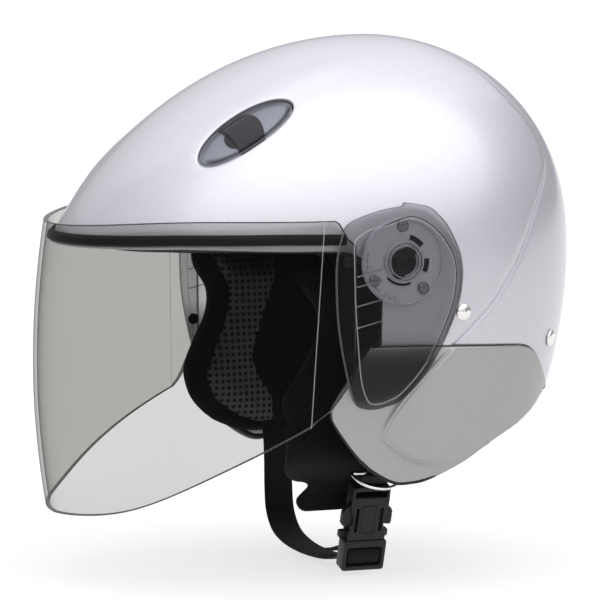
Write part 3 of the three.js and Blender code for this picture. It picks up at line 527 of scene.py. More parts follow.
# ---------------------------------------------------------------- materials
class Finish:
    """A node material round one Principled shader, with short ways to add its textures."""

    def __init__(self, name, colour, roughness, metallic=0.0, **sockets):
        self.material = bpy.data.materials.new(name)
        self.material.use_nodes = True
        self.tree = self.material.node_tree
        self.shader = self.tree.nodes["Principled BSDF"]
        self.shader.inputs["Base Color"].default_value = (*colour, 1)
        self.shader.inputs["Roughness"].default_value = roughness
        self.shader.inputs["Metallic"].default_value = metallic
        for key, value in sockets.items():
            self.shader.inputs[key.replace("_", " ")].default_value = value
        self.place = self.node("ShaderNodeTexCoord").outputs["Object"]

    def node(self, kind, **settings):
        made = self.tree.nodes.new(kind)
        for key, value in settings.items():
            if hasattr(made, key):
                setattr(made, key, value)
            else:
                made.inputs[key.replace("_", " ")].default_value = value
        return made

    def link(self, source, target):
        self.tree.links.new(source, target)
        return self

    def noise(self, scale, detail=3.0, roughness=0.5):
        made = self.node("ShaderNodeTexNoise", Scale=scale, Detail=detail, Roughness=roughness)
        self.link(self.place, made.inputs["Vector"])
        return made.outputs["Fac"]

    def cells(self, scale, output="Distance"):
        made = self.node("ShaderNodeTexVoronoi", Scale=scale)
        self.link(self.place, made.inputs["Vector"])
        return made.outputs[output]

    def spread(self, value, low, high, from_low=0.0, from_high=1.0):
        made = self.node("ShaderNodeMapRange")
        for key, number in (("From Min", from_low), ("From Max", from_high), ("To Min", low), ("To Max", high)):
            made.inputs[key].default_value = number
        self.link(value, made.inputs["Value"])
        return made.outputs["Result"]

    def blend_colours(self, factor, first, second):
        made = self.node("ShaderNodeMix", data_type="RGBA")
        for key, colour in (("A", first), ("B", second)):
            socket = [s for s in made.inputs if s.name == key and s.type == "RGBA"][0]
            if isinstance(colour, tuple):
                socket.default_value = (*colour, 1)
            else:
                self.link(colour, socket)
        self.link(factor, made.inputs[0])
        return [s for s in made.outputs if s.type == "RGBA"][0]

    def power(self, value, exponent, scale, offset=0.0):
        """scale * value ** exponent + offset"""
        raised = self.node("ShaderNodeMath", operation="POWER")
        self.link(value, raised.inputs[0])
        raised.inputs[1].default_value = exponent
        made = self.node("ShaderNodeMath", operation="MULTIPLY_ADD")
        self.link(raised.outputs[0], made.inputs[0])
        made.inputs[1].default_value, made.inputs[2].default_value = scale, offset
        return made.outputs[0]

    def blend_shaders(self, factor, first, second):
        made = self.node("ShaderNodeMixShader")
        self.link(factor, made.inputs[0])
        for i, shader in ((1, first), (2, second)):
            self.link(shader.outputs[0], made.inputs[i])
        return made

    def colour(self, source):
        self.link(source, self.shader.inputs["Base Color"])

    def rough(self, source):
        self.link(source, self.shader.inputs["Roughness"])

    def bump(self, height, distance, strength):
        made = self.node("ShaderNodeBump", Strength=strength, Distance=distance)
        self.link(height, made.inputs["Height"])
        self.link(made.outputs["Normal"], self.shader.inputs["Normal"])

    def mottle(self, source, colour, low, high):
        """Colours the surface between two shades of a colour."""
        self.colour(self.blend_colours(source, scaled(colour, low), scaled(colour, high)))


def scaled(colour, share):
    return tuple(min(1.0, channel * share) for channel in colour)


def metallic_paint(name, colour, roughness, flake_size, coat):
    """Flakes of slightly different brightness and tilt under a clear coat."""
    finish = Finish(name, colour, roughness, 0.75, Coat_Weight=coat, Coat_Roughness=0.1, Coat_IOR=1.5)
    flake = finish.cells(1 / (flake_size * MM), "Color")
    split = finish.node("ShaderNodeSeparateColor")
    finish.link(flake, split.inputs[0])
    drift = finish.noise(9.0, 2.0)
    lighter = scaled(colour, 1.07)
    speckle = finish.blend_colours(split.outputs[0], scaled(colour, 0.93), lighter)
    tone = finish.blend_colours(finish.spread(drift, 0.0, 0.25, 0.3, 0.7), speckle, lighter)
    finish.colour(tone)
    finish.rough(finish.spread(split.outputs[1], roughness * 0.9, roughness * 1.12))
    finish.bump(split.outputs[2], 0.01 * MM, 0.35)
    return finish.material


def clear_sheet(name, tint, veil):
    """Tinted clear plastic: light goes straight through a faint veil, and its faces mirror at a glancing angle.

    The mesh's "edge" attribute marks rims, which are painted grey as painted shade. Its glint attribute marks lines
    painted light as painted highlights, and its shadow attribute marks what is painted near black as painted shade.
    """
    finish = Finish(name, tint, 0.05)
    finish.tree.nodes.remove(finish.shader)
    facing = finish.node("ShaderNodeLayerWeight", Blend=0.5).outputs["Facing"]
    haze = finish.blend_colours(finish.noise(14.0), scaled(tint, 0.985), scaled(tint, 1.01))
    colour = finish.blend_colours(finish.power(facing, 8.0, 0.9), haze, scaled(tint, 0.12))
    through = finish.node("ShaderNodeBsdfTransparent")
    finish.link(colour, through.inputs["Color"])
    gloss = finish.node("ShaderNodeBsdfGlossy", Roughness=0.04)
    film = finish.node("ShaderNodeBsdfDiffuse", Color=(0.8, 0.8, 0.82, 1))
    clear = finish.node("ShaderNodeMixShader", Fac=veil)
    finish.link(through.outputs[0], clear.inputs[1]).link(film.outputs[0], clear.inputs[2])
    shader = finish.blend_shaders(finish.power(facing, 6.0, 0.15), clear, gloss)
    # Each mark mixes in a flat diffuse tone: grey rims as painted shade, light lines as painted highlights, near
    # black as painted shade.
    for mark, shade, share in (("edge", 0.16, 0.8), ("glint", 0.75, 0.75), ("shadow", 0.012, 0.9)):
        painted_mark_shader = finish.node("ShaderNodeBsdfDiffuse", Color=(shade, shade, shade * 1.03, 1))
        amount = finish.node("ShaderNodeAttribute", attribute_name=mark).outputs["Fac"]
        shader = finish.blend_shaders(finish.power(amount, 1.0, share), shader, painted_mark_shader)
    finish.link(shader.outputs[0], finish.tree.nodes["Material Output"].inputs["Surface"])
    return finish.material


def grained(name, colour, roughness, grain_size, depth):
    """Moulded plastic or rubber with a fine pebble grain."""
    finish = Finish(name, colour, roughness, Specular_IOR_Level=0.25)
    grain = finish.noise(1 / (grain_size * MM), 4.0, 0.6)
    finish.rough(finish.spread(grain, roughness * 0.8, min(1.0, roughness * 1.25), 0.3, 0.7))
    finish.mottle(finish.noise(60.0), colour, 0.8, 1.25)
    finish.bump(grain, depth * MM, 0.6)
    return finish.material


def polished(name, colour, roughness):
    """Smooth moulded plastic, slightly uneven in tone and gloss."""
    finish = Finish(name, colour, roughness)
    uneven = finish.noise(40.0, 2.0)
    finish.mottle(uneven, colour, 0.8, 1.25)
    finish.rough(finish.spread(uneven, roughness * 0.85, roughness * 1.15, 0.3, 0.7))
    return finish.material


def brushed_metal(name, colour, roughness):
    finish = Finish(name, colour, roughness, 1.0)
    finish.rough(finish.spread(finish.noise(900.0, 5.0), roughness * 0.6, roughness * 1.8, 0.3, 0.7))
    finish.bump(finish.noise(2500.0, 2.0), 0.01 * MM, 0.25)
    return finish.material


def beaded_foam(name, colour):
    finish = Finish(name, colour, 0.85)
    beads_and_gap_shade = finish.cells(1 / (3.2 * MM))
    # Bead middles are painted lighter and the sunk gaps between one bead and the next darker: painted shade in the
    # hollows.
    finish.mottle(beads_and_gap_shade, colour, 1.4, 0.5)
    finish.bump(beads_and_gap_shade, -0.5 * MM, 0.7)
    return finish.material


def velour(name, colour):
    """Short brushed pile, with random patches painted lighter and darker as painted sheen where the nap lies the
    other way.
    """
    finish = Finish(name, colour, 0.95, Sheen_Weight=0.04, Sheen_Roughness=0.5, Specular_IOR_Level=0.1)
    finish.mottle(finish.noise(45.0, 3.0), colour, 0.6, 1.5)
    finish.bump(finish.noise(2600.0, 2.0), 0.35 * MM, 0.9)
    return finish.material


def sandwich_mesh(finish, hole_size):
    """Height of an open knit with round holes in staggered rows, over the (y, z) plane."""
    split = finish.node("ShaderNodeSeparateXYZ")
    finish.link(finish.place, split.inputs[0])

    def math_node(operation, *values):
        made = finish.node("ShaderNodeMath", operation=operation)
        for i, value in enumerate(values):
            if isinstance(value, (int, float)):
                made.inputs[i].default_value = value
            else:
                finish.link(value, made.inputs[i])
        return made.outputs[0]

    pitch = 2 * math.pi / (hole_size * MM)
    diagonal = math_node("ADD", split.outputs["Y"], split.outputs["Z"])
    other = math_node("SUBTRACT", split.outputs["Y"], split.outputs["Z"])
    waves = [math_node("SINE", math_node("MULTIPLY", line, pitch / 1.414)) for line in (diagonal, other)]
    return math_node("MULTIPLY", *waves)


def pad_fabric(name):
    """Velour border round a grey mesh field, as the mesh's "field" attribute says."""
    sheen = {"Sheen_Weight": 0.015, "Sheen_Roughness": 0.5, "Specular_IOR_Level": 0.03}
    finish = Finish(name, (0.02, 0.02, 0.022), 0.95, **sheen)
    field = finish.node("ShaderNodeAttribute", attribute_name="field").outputs["Fac"]
    holes = sandwich_mesh(finish, 5.4)
    open_knit = finish.spread(holes, 0, 1, 0.15, 0.45)
    knit = finish.blend_colours(open_knit, (0.075, 0.077, 0.083), (0.008, 0.008, 0.009))
    nap = finish.noise(50.0, 3.0)
    pile = finish.blend_colours(nap, (0.002, 0.002, 0.0022), (0.006, 0.0062, 0.0066))
    edge = finish.spread(field, 0, 1, 0.45, 0.55)
    finish.colour(finish.blend_colours(edge, pile, knit))
    fine = finish.noise(2400.0, 2.0)
    made = finish.node("ShaderNodeMix", data_type="FLOAT")
    finish.link(edge, made.inputs[0])
    finish.link(fine, made.inputs[2])
    finish.link(finish.spread(holes, 1, 0, 0.0, 0.6), made.inputs[3])
    finish.bump(made.outputs[0], 0.4 * MM, 0.6)
    return finish.material


def woven(name, colour, rib_pitch):
    """Webbing: ribs across its width and a twill along them, over the mesh's own UV map in millimetres."""
    finish = Finish(name, colour, 0.8, Sheen_Weight=0.03, Sheen_Roughness=0.5, Specular_IOR_Level=0.2)
    uv = finish.node("ShaderNodeUVMap", uv_map="weave").outputs["UV"]
    heights = []
    for angle, pitch in ((0.0, rib_pitch), (0.9, rib_pitch * 0.6)):
        turn = finish.node("ShaderNodeMapping")
        turn.inputs["Rotation"].default_value = (0, 0, angle)
        finish.link(uv, turn.inputs["Vector"])
        wave = finish.node("ShaderNodeTexWave", Scale=1 / pitch / 3.2, Distortion=0.4, Detail=1.0)
        finish.link(turn.outputs[0], wave.inputs["Vector"])
        heights.append(wave.outputs["Fac"])
    weave_height_and_shade = finish.node("ShaderNodeMath", operation="MULTIPLY")
    finish.link(heights[0], weave_height_and_shade.inputs[0]).link(heights[1], weave_height_and_shade.inputs[1])
    # The raised threads are painted lighter and the hollows between them darker: painted shade that follows the
    # weave's bump.
    finish.mottle(weave_height_and_shade.outputs[0], colour, 0.5, 1.8)
    finish.bump(weave_height_and_shade.outputs[0], 0.25 * MM, 0.8)
    return finish.material


SILVER = metallic_paint("silver_paint", (0.54, 0.54, 0.578), 0.4, 0.35, 0.6)
SATIN = metallic_paint("satin_paint", (0.35, 0.346, 0.338), 0.4, 0.35, 0.3)
VISOR_CLEAR = clear_sheet("visor_polycarbonate", (0.79, 0.786, 0.777), 0.002)
COVER_SMOKE = clear_sheet("smoked_polycarbonate", (0.755, 0.753, 0.76), 0.006)
VENT_SMOKE = clear_sheet("vent_polycarbonate", (0.78, 0.785, 0.80), 0.02)
RUBBER = grained("trim_rubber", (0.010, 0.010, 0.011), 0.5, 0.5, 0.05)
PLASTIC = grained("black_plastic", (0.014, 0.014, 0.015), 0.4, 0.35, 0.04)
VENT_PLASTIC = polished("vent_plastic", (0.012, 0.012, 0.014), 0.32)
CHROME = brushed_metal("polished_steel", (0.82, 0.8, 0.77), 0.12)
DULL_STEEL = brushed_metal("zinc_steel", (0.3, 0.3, 0.3), 0.36)
BLACK_STEEL = brushed_metal("blackened_steel", (0.035, 0.035, 0.038), 0.4)
FOAM = beaded_foam("liner_foam", (0.006, 0.006, 0.0065))
VELOUR = velour("lining_velour", (0.004, 0.004, 0.0045))
PAD_FABRIC = pad_fabric("pad_fabric")
WEBBING = woven("webbing", (0.006, 0.006, 0.0065), 1.3)


# ---------------------------------------------------------------- outer shell
def height_at_y(edge):
    y, z = zip(*edge)
    return lambda value: np.interp(value, y, z)


def edge_points(edge, first, last, count, inset=0):
    """Surface points where the surface meets a height that depends on y, at angles from first to last."""
    angle = np.linspace(first, last, count)
    low, high = np.full(count, -100.0), np.full(count, 60.0)
    for _ in range(40):
        z = (low + high) / 2
        y = SHELL_CENTRE_Y - shell_radius(angle, z, inset) * np.cos(angle)
        under = z < edge(y)
        low, high = np.where(under, z, low), np.where(under, high, z)
    return shell_point(angle, (low + high) / 2, inset)


def angle_of(point):
    return math.atan2(point[0], SHELL_CENTRE_Y - point[1])


def both_sides(half):
    """A closed loop of the crown plane from its half, which runs from the front to the back on the +X side."""
    return np.vstack([half, (half * [-1, 1])[-2:0:-1]])


def shell_loop():
    corner = on_side(turned_arc((TEMPLE_Y - CORNER_RADIUS, TEMPLE_TOP), CORNER_RADIUS, 90, 0, 24))
    temple = on_side(even([(TEMPLE_Y, TEMPLE_TOP), (TEMPLE_Y, TEMPLE_BOTTOM)], 1.6))
    gap = on_side(curve(GAP_LINE, 1.6))
    brow = edge_points(height_at_y(BROW), 0, angle_of(corner[0]), 90)
    rear = shell_point(np.linspace(angle_of(gap[-1]), math.pi, 60), np.full(60, float(REAR_EDGE_Z)))
    return both_sides(crown_plane(joined(brow, corner, temple, gap, rear)))


# A sharp crease runs from the side panel up round the back of the head; behind it the shell stands proud.
CREASE = [
    (124.7, 30, -47), (125.2, 40.5, -37), (124.4, 53, -25), (123, 62, -13), (119, 73, 3.5), (108, 88, 30),
    (95, 99.5, 46), (85, 100, 62), (73.5, 87.5, 83), (62.7, 80, 94), (44, 70, 106), (28, 57, 113.5),
]
CREASE_HALF_WIDTH = 0.6
CREASE_STEP = 1.6
CREASE_VALLEY = 1.2
# A soft ridge runs over the temple, above the vent.
RIDGE = [
    (24, -143, 20), (29, -133, 29), (32, -126, 37), (42, -107.5, 52), (50.5, -87, 66), (54, -60, 83),
    (55, -30.6, 96.5), (54, -2, 104), (48, 24, 109),
]
RIDGE_RISE = 1.1
RIDGE_WIDTH = 9.0


def fade(share, first, last):
    t = np.clip((share - first) / (last - first), 0, 1)
    return t * t * (3 - 2 * t)


def beside(line, distance):
    """The line moved to its left by a distance."""
    along = np.gradient(line, axis=0)
    left = np.column_stack([-along[:, 1], along[:, 0]])
    return line + left / np.linalg.norm(left, axis=1, keepdims=True) * distance


def crease_height(distance, share):
    """The lift beside the crease: distance is positive on its proud side, and it dies away past its middle."""
    step = fade(distance, -CREASE_HALF_WIDTH, CREASE_HALF_WIDTH) * np.exp(-np.maximum(0, distance) / 26)
    valley = np.exp(-((distance / 0.9) ** 2))
    return (CREASE_STEP * step - CREASE_VALLEY * valley) * (1 - fade(share, 0.72, 1.0))


def vent_frame():
    normal = VENT_NORMAL / np.linalg.norm(VENT_NORMAL)
    centre = surface_from(VENT_START, normal)[0]
    along = np.array([0.08, 0.87, 0.55])
    along -= normal * (along @ normal)
    along /= np.linalg.norm(along)
    across = np.cross(normal, along)
    return centre - across * VENT_DROP, normal, along, across


VENT_CENTRE, VENT_UP, VENT_ALONG, VENT_ACROSS = vent_frame()


def vent_oval(scale, count=90):
    turn = np.linspace(0, 2 * math.pi, count, endpoint=False)
    along = bowed(np.cos(turn), VENT_ROUNDNESS) * scale * VENT_HALF_LENGTH
    return np.column_stack([along, bowed(np.sin(turn), VENT_ROUNDNESS) * scale * VENT_HALF_WIDTH])


def vent_place(uv, height):
    start = VENT_CENTRE + uv[:, :1] * VENT_ALONG + uv[:, 1:] * VENT_ACROSS
    return surface_from(start, VENT_UP) + np.reshape(height, (-1, 1)) * VENT_UP


def vent_size(uv):
    """0 at the vent's middle and 1 on its outline."""
    shares = np.abs(uv / [VENT_HALF_LENGTH, VENT_HALF_WIDTH]) ** VENT_ROUNDNESS
    return shares.sum(1) ** (1 / VENT_ROUNDNESS)


def build_shell():
    creases, ridges, holes, lines = [], [], [], []
    for side in (1, -1):
        crease = curve(crown_plane(np.array(CREASE, float)), 1.6) * [side, 1]
        creases.append(crease)
        offsets = (-1.7, -CREASE_HALF_WIDTH, 0, CREASE_HALF_WIDTH, 1.7)
        lines += [beside(crease[:-3], offset) for offset in offsets]
        ridges.append(curve(crown_plane(np.array(RIDGE, float)), 4) * [side, 1])
        holes.append(crown_plane(vent_place(vent_oval(1.0), 0)) * [side, 1])
    loop = shell_loop()
    lines = [line[inside(line, loop)][2:] for line in lines]
    uv, faces = filled([loop, *holes], 3.3, lines)
    height = np.zeros(len(uv))
    for side, crease, ridge in zip((1, -1), creases, ridges):
        distance, share = nearest(uv, crease)
        own_side = uv[:, 0] * side > 0
        height += np.where(own_side, crease_height(distance * side, share), 0)
        distance, share = nearest(uv, ridge)
        ends = fade(share, 0, 0.2) * (1 - fade(share, 0.75, 1.0))
        height += RIDGE_RISE * np.exp(-((distance / RIDGE_WIDTH) ** 2)) * ends
    body = slab(uv, faces, crown_place, 0, SHELL_THICKNESS, 1.1, height)
    return merged(body, *flanges())


FLANGE_TOP = [(-9, -37), (60, -39), (78, -41), (88, -46)]
FLANGE_LOWER = [
    (96, -70), (88.5, -79), (73, -88.5), (41, -108), (22.5, -117.5), (5, -120), (-6, -115), (-27, -91), (-31, -84),
    (-29, -77), (-19, -57), (-9.5, -42),
]


def flanges():
    """The shell's inner flanges, which carry the side panels."""
    uv, faces = filled([closed_loop(joined(curve(FLANGE_TOP, 4), curve(FLANGE_LOWER, 4)))], 6)
    left = slab(uv, faces, on_side, FLANGE_OUTER, FLANGE_INNER, 0.8)
    return left, mirrored(left)


# ---------------------------------------------------------------- side panels
# The crease carries on down the panel and turns back along its lower edge as a soft bevel.
PANEL_CREASE = [
    (29.5, -46.5), (18, -58.5), (7, -70), (-1.5, -82), (-6.2, -92), (-5.3, -97.5), (4.2, -105.5), (16, -111),
    (33.5, -109.5), (51, -102.5), (71, -92.5), (88, -82),
]
PANEL_GAP = 0.55
FIELD_RISE = 2.6
BEVEL_DROP = 3.8


def panel_loop():
    front = curve([(-14.3, -47), (-12, -46.8)], 1.5)
    top = beside(curve(GAP_LINE, 1.5), -PANEL_GAP)[3:-1]
    return closed_loop(joined(front, top, [(99.6, -74.8)], curve(PANEL_FREE_EDGE, 1.5)))


def build_panel():
    crease = curve(PANEL_CREASE, 1.3)
    loop = panel_loop()
    lines = [beside(crease, offset) for offset in (-1.3, 0.0, 0.6, 1.2, 1.8, 2.6)]
    lines = [line[inside(line, loop)][1:-1] for line in lines]
    uv, faces = filled([loop], 2.6, lines)
    distance, share = nearest(uv, crease)
    bevel = fade(share, 0.52, 0.66)
    field = FIELD_RISE * np.exp(-np.maximum(0, distance) / 45)
    groove = -1.1 * np.exp(-(((distance - 1.2) / 0.5) ** 2))
    stepped = field * fade(distance, -1.3, 1.1) + groove
    bevelled = field - BEVEL_DROP * np.clip(-distance / 14, 0, 1)
    height = stepped * (1 - bevel) + bevelled * bevel
    return slab(uv, faces, on_side, 0, PANEL_THICKNESS, 0.9, height)


# ---------------------------------------------------------------- rubber edge trims and the brow gasket
TRIM_DEPTH = 6.1
OPENING_TRIM_INSET = (FLANGE_INNER + 0.3) / 2
REAR_TRIM_INSET = 3.3
REAR_TRIM_Z = -76.0
SEAL_INSET = -1.3          # the brow seal stands outside the shell


def trim(path, inset, width):
    """A rubber bead with a full, rounded outside, along a path that lies in the shell's edge."""
    return sweep(path, surface_normal(path, inset), rounded_section(width, TRIM_DEPTH, 3.2, 22))


def build_opening_trim():
    edge = curve([(100.5, -74.8), *PANEL_FREE_EDGE[:-1], (-15.3, -47.5)], 2.2)
    upper = curve([(-15.3, -47.5), (-10.4, -41), (TEMPLE_Y, -30), (TEMPLE_Y, TEMPLE_TOP)], 2.2)
    line = beside(joined(edge, upper), -1.75)
    return trim(on_side(line, OPENING_TRIM_INSET), OPENING_TRIM_INSET, TRIM_WIDTH)


def build_rear_trim():
    end = angle_of(on_side([(102.5, REAR_TRIM_Z)], REAR_TRIM_INSET)[0])
    angle = np.linspace(end, 2 * math.pi - end, 120)
    path = shell_point(angle, np.full(len(angle), REAR_TRIM_Z), REAR_TRIM_INSET)
    return trim(path, REAR_TRIM_INSET, TRIM_WIDTH + 0.2)


BROW_SEAL = [(-220, 5.6), (-150, 9), (-110, 11), (-60, 11.9), (-29, 11.9)]
BROW_SEAL_HEIGHT = 5.9


def build_brow_seal():
    """A soft gasket on the brow that the shut visor's top edge meets, with a thin lip along its crest."""
    end = angle_of(on_side([BROW_SEAL[-1]])[0])
    path = edge_points(height_at_y(BROW_SEAL), -end, end, 220, SEAL_INSET)
    flat = rounded_section(BROW_SEAL_HEIGHT, 1.9, 3.2, 24)
    lip = np.exp(-((flat[:, 0] / 0.9) ** 2)) * (flat[:, 1] > 0) * 0.5
    return sweep(path, surface_normal(path, SEAL_INSET), flat + np.column_stack([0 * lip, lip]))


# ---------------------------------------------------------------- lining
def build_liner():
    loop = both_sides(crown_plane(edge_points(height_at_y(LINER_EDGE), 0, math.pi, 150)))
    uv, faces = filled([loop], 9)
    return slab(uv, faces, crown_place, LINER_OUTER, LINER_INNER, 4)


CHANNELS = [-62, -22, 22, 62]


def crown_seams(points):
    """How close each point is to a sewn channel: front to back lines and one across."""
    seams = [np.abs(points[:, 0] - x) for x in CHANNELS]
    seams.append(np.abs(points[:, 1] - 6 - 0.002 * points[:, 0] ** 2))
    return np.min(seams, axis=0)


def build_crown_lining():
    """A padded cap, sewn into panels that puff out between the channels."""
    loop = both_sides(crown_plane(edge_points(height_at_y(CROWN_EDGE), 0, math.pi, 150)))
    uv, faces = filled([loop], 5)
    inner = crown_place(uv, CROWN_INNER - 1)
    puff = 2.6 * (1 - np.exp(-((crown_seams(inner) / 6) ** 2)))
    return slab(uv, faces, crown_place, CROWN_INNER - 2.4, CROWN_OUTER, 3, puff)


# The neck roll is laid out flat, behind the head: so many millimetres across for each radian, and so many down.
NECK_FLAT_RADIAN = 100
NECK_FLAT_HEIGHT = 50
NECK_SEAM_PITCH = 60


def build_neck_roll():
    """A padded roll whose lower edge follows the rim and whose face is sewn down across it at even steps."""
    bottom = height_at_y(NECK_BOTTOM)

    def place(uv, inset):
        angle = math.pi + uv[:, 0] / NECK_FLAT_RADIAN
        z = NECK_TOP_Z + uv[:, 1]
        y = SHELL_CENTRE_Y - shell_radius(angle, z, inset) * np.cos(angle)
        return shell_point(angle, NECK_TOP_Z + (bottom(y) - NECK_TOP_Z) * uv[:, 1] / -NECK_FLAT_HEIGHT, inset)

    end = (math.pi - angle_of(on_side([(72, -60)], 20)[0])) * NECK_FLAT_RADIAN
    low = -NECK_FLAT_HEIGHT
    loop = even([(-end, 0), (end, 0), (end, low), (-end, low), (-end, 0)], 3)[:-1]
    uv, faces = filled([loop], 4)
    half = NECK_SEAM_PITCH / 2
    ribs = -1.4 * np.exp(-((((uv[:, 0] + half) % NECK_SEAM_PITCH - half) / 2.2) ** 2))
    return slab(uv, faces, place, NECK_OUTER + 1.5, NECK_INNER - 3, 9, ribs, 6)


PAD_VOXEL = 5 * MM
PAD_PRESSURE = 4.0
PAD_PUFF_LIMIT = 3.5 * MM
PAD_FRAMES = 20
PAD_BORDER = 6.5
PAD_TOE_IN = 12.0
PAD_SAG = 4.0
# The mesh field ends along this line; the rest of the pad, towards the ear, is velour.
FIELD_REAR = [(14, -4), (10.3, -18.6), (-3.5, -54.2), (-8.1, -69.1), (-4.8, -82.6), (3.1, -95), (5.1, -120)]


def puffed(piece, limit):
    """Swells a closed piece as stuffed fabric does, by a short cloth simulation, then smooths it."""
    piece.modifiers.new("remesh", "REMESH").voxel_size = PAD_VOXEL
    bake_modifiers(piece)
    before = np.array([v.co for v in piece.data.vertices])
    cloth = piece.modifiers.new("cloth", "CLOTH")
    cloth.settings.use_pressure = True
    cloth.settings.uniform_pressure_force = PAD_PRESSURE
    cloth.settings.effector_weights.gravity = 0
    cloth.point_cache.frame_start, cloth.point_cache.frame_end = 1, PAD_FRAMES
    for step in range(1, PAD_FRAMES + 1):
        bpy.context.scene.frame_set(step)
    bake_modifiers(piece)
    bpy.context.scene.frame_set(1)
    after = np.array([v.co for v in piece.data.vertices])
    shift = after - before
    length = np.linalg.norm(shift, axis=1, keepdims=True)
    shift *= np.minimum(1, limit / np.maximum(length, 1e-9))
    piece.data.vertices.foreach_set("co", (before + shift).ravel())
    smooth = piece.modifiers.new("smooth", "SMOOTH")
    smooth.factor, smooth.iterations = 0.5, 3
    piece.modifiers.new("finer", "SUBSURF").levels = 1
    bake_modifiers(piece)
    piece.data.shade_smooth()
    return piece


def bake_modifiers(piece):
    graph = bpy.context.evaluated_depsgraph_get()
    mesh = bpy.data.meshes.new_from_object(piece.evaluated_get(graph))
    piece.modifiers.clear()
    piece.data = mesh


def build_cheek_pads():
    outline = curve(CHEEK_OUTLINE, 3, closed=True)
    uv, faces = filled([outline], 5)
    points, sides = slab(uv, faces, on_side, CHEEK_OUTER + 3, CHEEK_INNER - 3, 10, steps=5)
    depth = (on_side(points[:, 1:], CHEEK_OUTER)[:, 0] - points[:, 0]) / (CHEEK_INNER - CHEEK_OUTER)
    points[:, 1] -= PAD_TOE_IN * depth * fade(-points[:, 1], -10, 30)
    points[:, 2] -= PAD_SAG * depth * fade(-points[:, 2], 80, 112)
    pad = puffed(mesh_object("cheek_pad_left", (points, sides)), PAD_PUFF_LIMIT)
    points = np.array([v.co for v in pad.data.vertices]) / MM
    distance, _ = nearest(points[:, 1:], outline[: int(len(outline) * 0.8)])
    deep = np.abs(distance) * inside(points[:, 1:], outline)
    depth = on_side(points[:, 1:], (CHEEK_OUTER + CHEEK_INNER) / 2)[:, 0] - points[:, 0]
    on_face = fade(depth, -4, 4)
    seam = np.exp(-(((deep - PAD_BORDER) / 1.7) ** 2)) * on_face
    crown = fade(deep, PAD_BORDER, PAD_BORDER + 14) * on_face
    normal = np.array([v.normal for v in pad.data.vertices])
    points += normal * (-2.0 * seam + 1.2 * crown - 0.8 * on_face)[:, None]
    pad.data.vertices.foreach_set("co", (points * MM).ravel())
    rear, _ = nearest(points[:, 1:], curve(FIELD_REAR, 3))
    front_part = fade(-rear, -0.8, 0.8)
    field = fade(deep, PAD_BORDER - 0.8, PAD_BORDER + 0.8) * on_face * front_part
    other = mesh_object("cheek_pad_right", mirrored((points, [list(p.vertices) for p in pad.data.polygons])))
    for side, piece in (("left", pad), ("right", other)):
        mark(piece, "field", field)
        fit(piece, "shell_body", "lining_fabric", PAD_FABRIC, f"cheek_pad_{side}")


# ---------------------------------------------------------------- crown vents
def build_vents():
    tray_uv, tray_faces = filled([vent_oval(VENT_FILL)], 3)
    tray = slab(tray_uv, tray_faces, vent_place, VENT_TRAY_TOP, VENT_TRAY_BOTTOM, 0.4)
    add_pair("vent_tray", tray, "shell_body", "shell_paint", SILVER)

    # The vent cover's lower rim is painted dark as painted shade under its edge; the two rings give that painted
    # band crisp borders.
    shadow_rings = [ring_of(vent_oval(0.85, 110)), ring_of(vent_oval(0.92, 116))]
    uv, faces = filled([vent_oval(VENT_FILL, 120)], 1.8, shadow_rings)
    size = np.minimum(1, vent_size(uv) / VENT_FILL)
    crown = 0.5 + VENT_COVER_RISE * (1 - size**3.2)
    lens = slab(uv, faces, lambda at, depth: vent_place(at, crown - depth), 0, 1.3, 0.45)
    lower_rim_painted_shadow = 0.85 * fade(size, 0.87, 0.94) * fade(-uv[:, 1], 1, 6)
    marks = sheet_marks(lens, len(uv), shadow=lower_rim_painted_shadow)
    add_pair("vent_cover", lens, "shell_body", "smoke_plastic", VENT_SMOKE, marks=marks)
    add_pair("vent_duct", vent_duct(), "shell_body", "black_plastic", VENT_PLASTIC)


def vent_duct():
    """A black hood over the air hole: an arched sheet with bowed front and rear edges, on a dark floor."""
    half = VENT_HOOD_HALF_WIDTH
    across = np.linspace(-half, half, 25)
    bow = 1 - (across / half) ** 2
    front = np.column_stack([-10.5 + 1.5 * bow, across])
    rear = np.column_stack([5.5 + 4 * bow, across])
    uv, faces = filled([closed_loop(joined(front, rear[::-1], front[:1]))], 1.8)
    arch = 2.6 - 3.6 * (uv[:, 1] / half) ** 2 - 0.004 * (uv[:, 0] + 1) ** 2
    hood = slab(uv, faces, lambda at, depth: vent_place(at, arch - depth), 0, 0.8, 0.35)
    floor_uv, floor_faces = filled([vent_oval(0.45) * [0.8, 1.5] + [-1.5, 0]], 3)
    floor = slab(floor_uv, floor_faces, vent_place, -1.3, -1.6, 0.1)
    return merged(hood, floor)


# ---------------------------------------------------------------- visor pivots
def ring_profile(inner, outer, base, top):
    """A square-shouldered ring's (radius, height) outline, with its upper corners bevelled."""
    edge = min(0.25, (outer - inner) / 4)
    shoulder = top - edge
    return [(inner, base), (inner, shoulder), (inner + edge, top), (outer - edge, top), (outer, shoulder), (outer, base)]


def hoop(profile, sides=72):
    """A closed ring about +Z from a closed (radius, height) outline."""
    profile = np.asarray(profile, float)
    turn = np.linspace(0, 2 * math.pi, sides, endpoint=False)
    radius, height, turn = profile[None, :, 0], profile[None, :, 1], turn[:, None]
    rows = np.stack([radius * np.cos(turn), radius * np.sin(turn), height + 0 * turn], -1)
    index = np.arange(rows.shape[0] * rows.shape[1]).reshape(rows.shape[:2])
    after = np.roll(index, -1, axis=0)
    quads = np.stack([index, after, np.roll(after, -1, 1), np.roll(index, -1, 1)], -1)
    return rows.reshape(-1, 3), quads.reshape(-1, 4).tolist()


# Takes a body built flat, in local (y, z, x), to the frame.
SIDEWAYS = Matrix(((0, 0, 1, 0), (1, 0, 0, 0), (0, 1, 0, 0), (0, 0, 0, 1)))


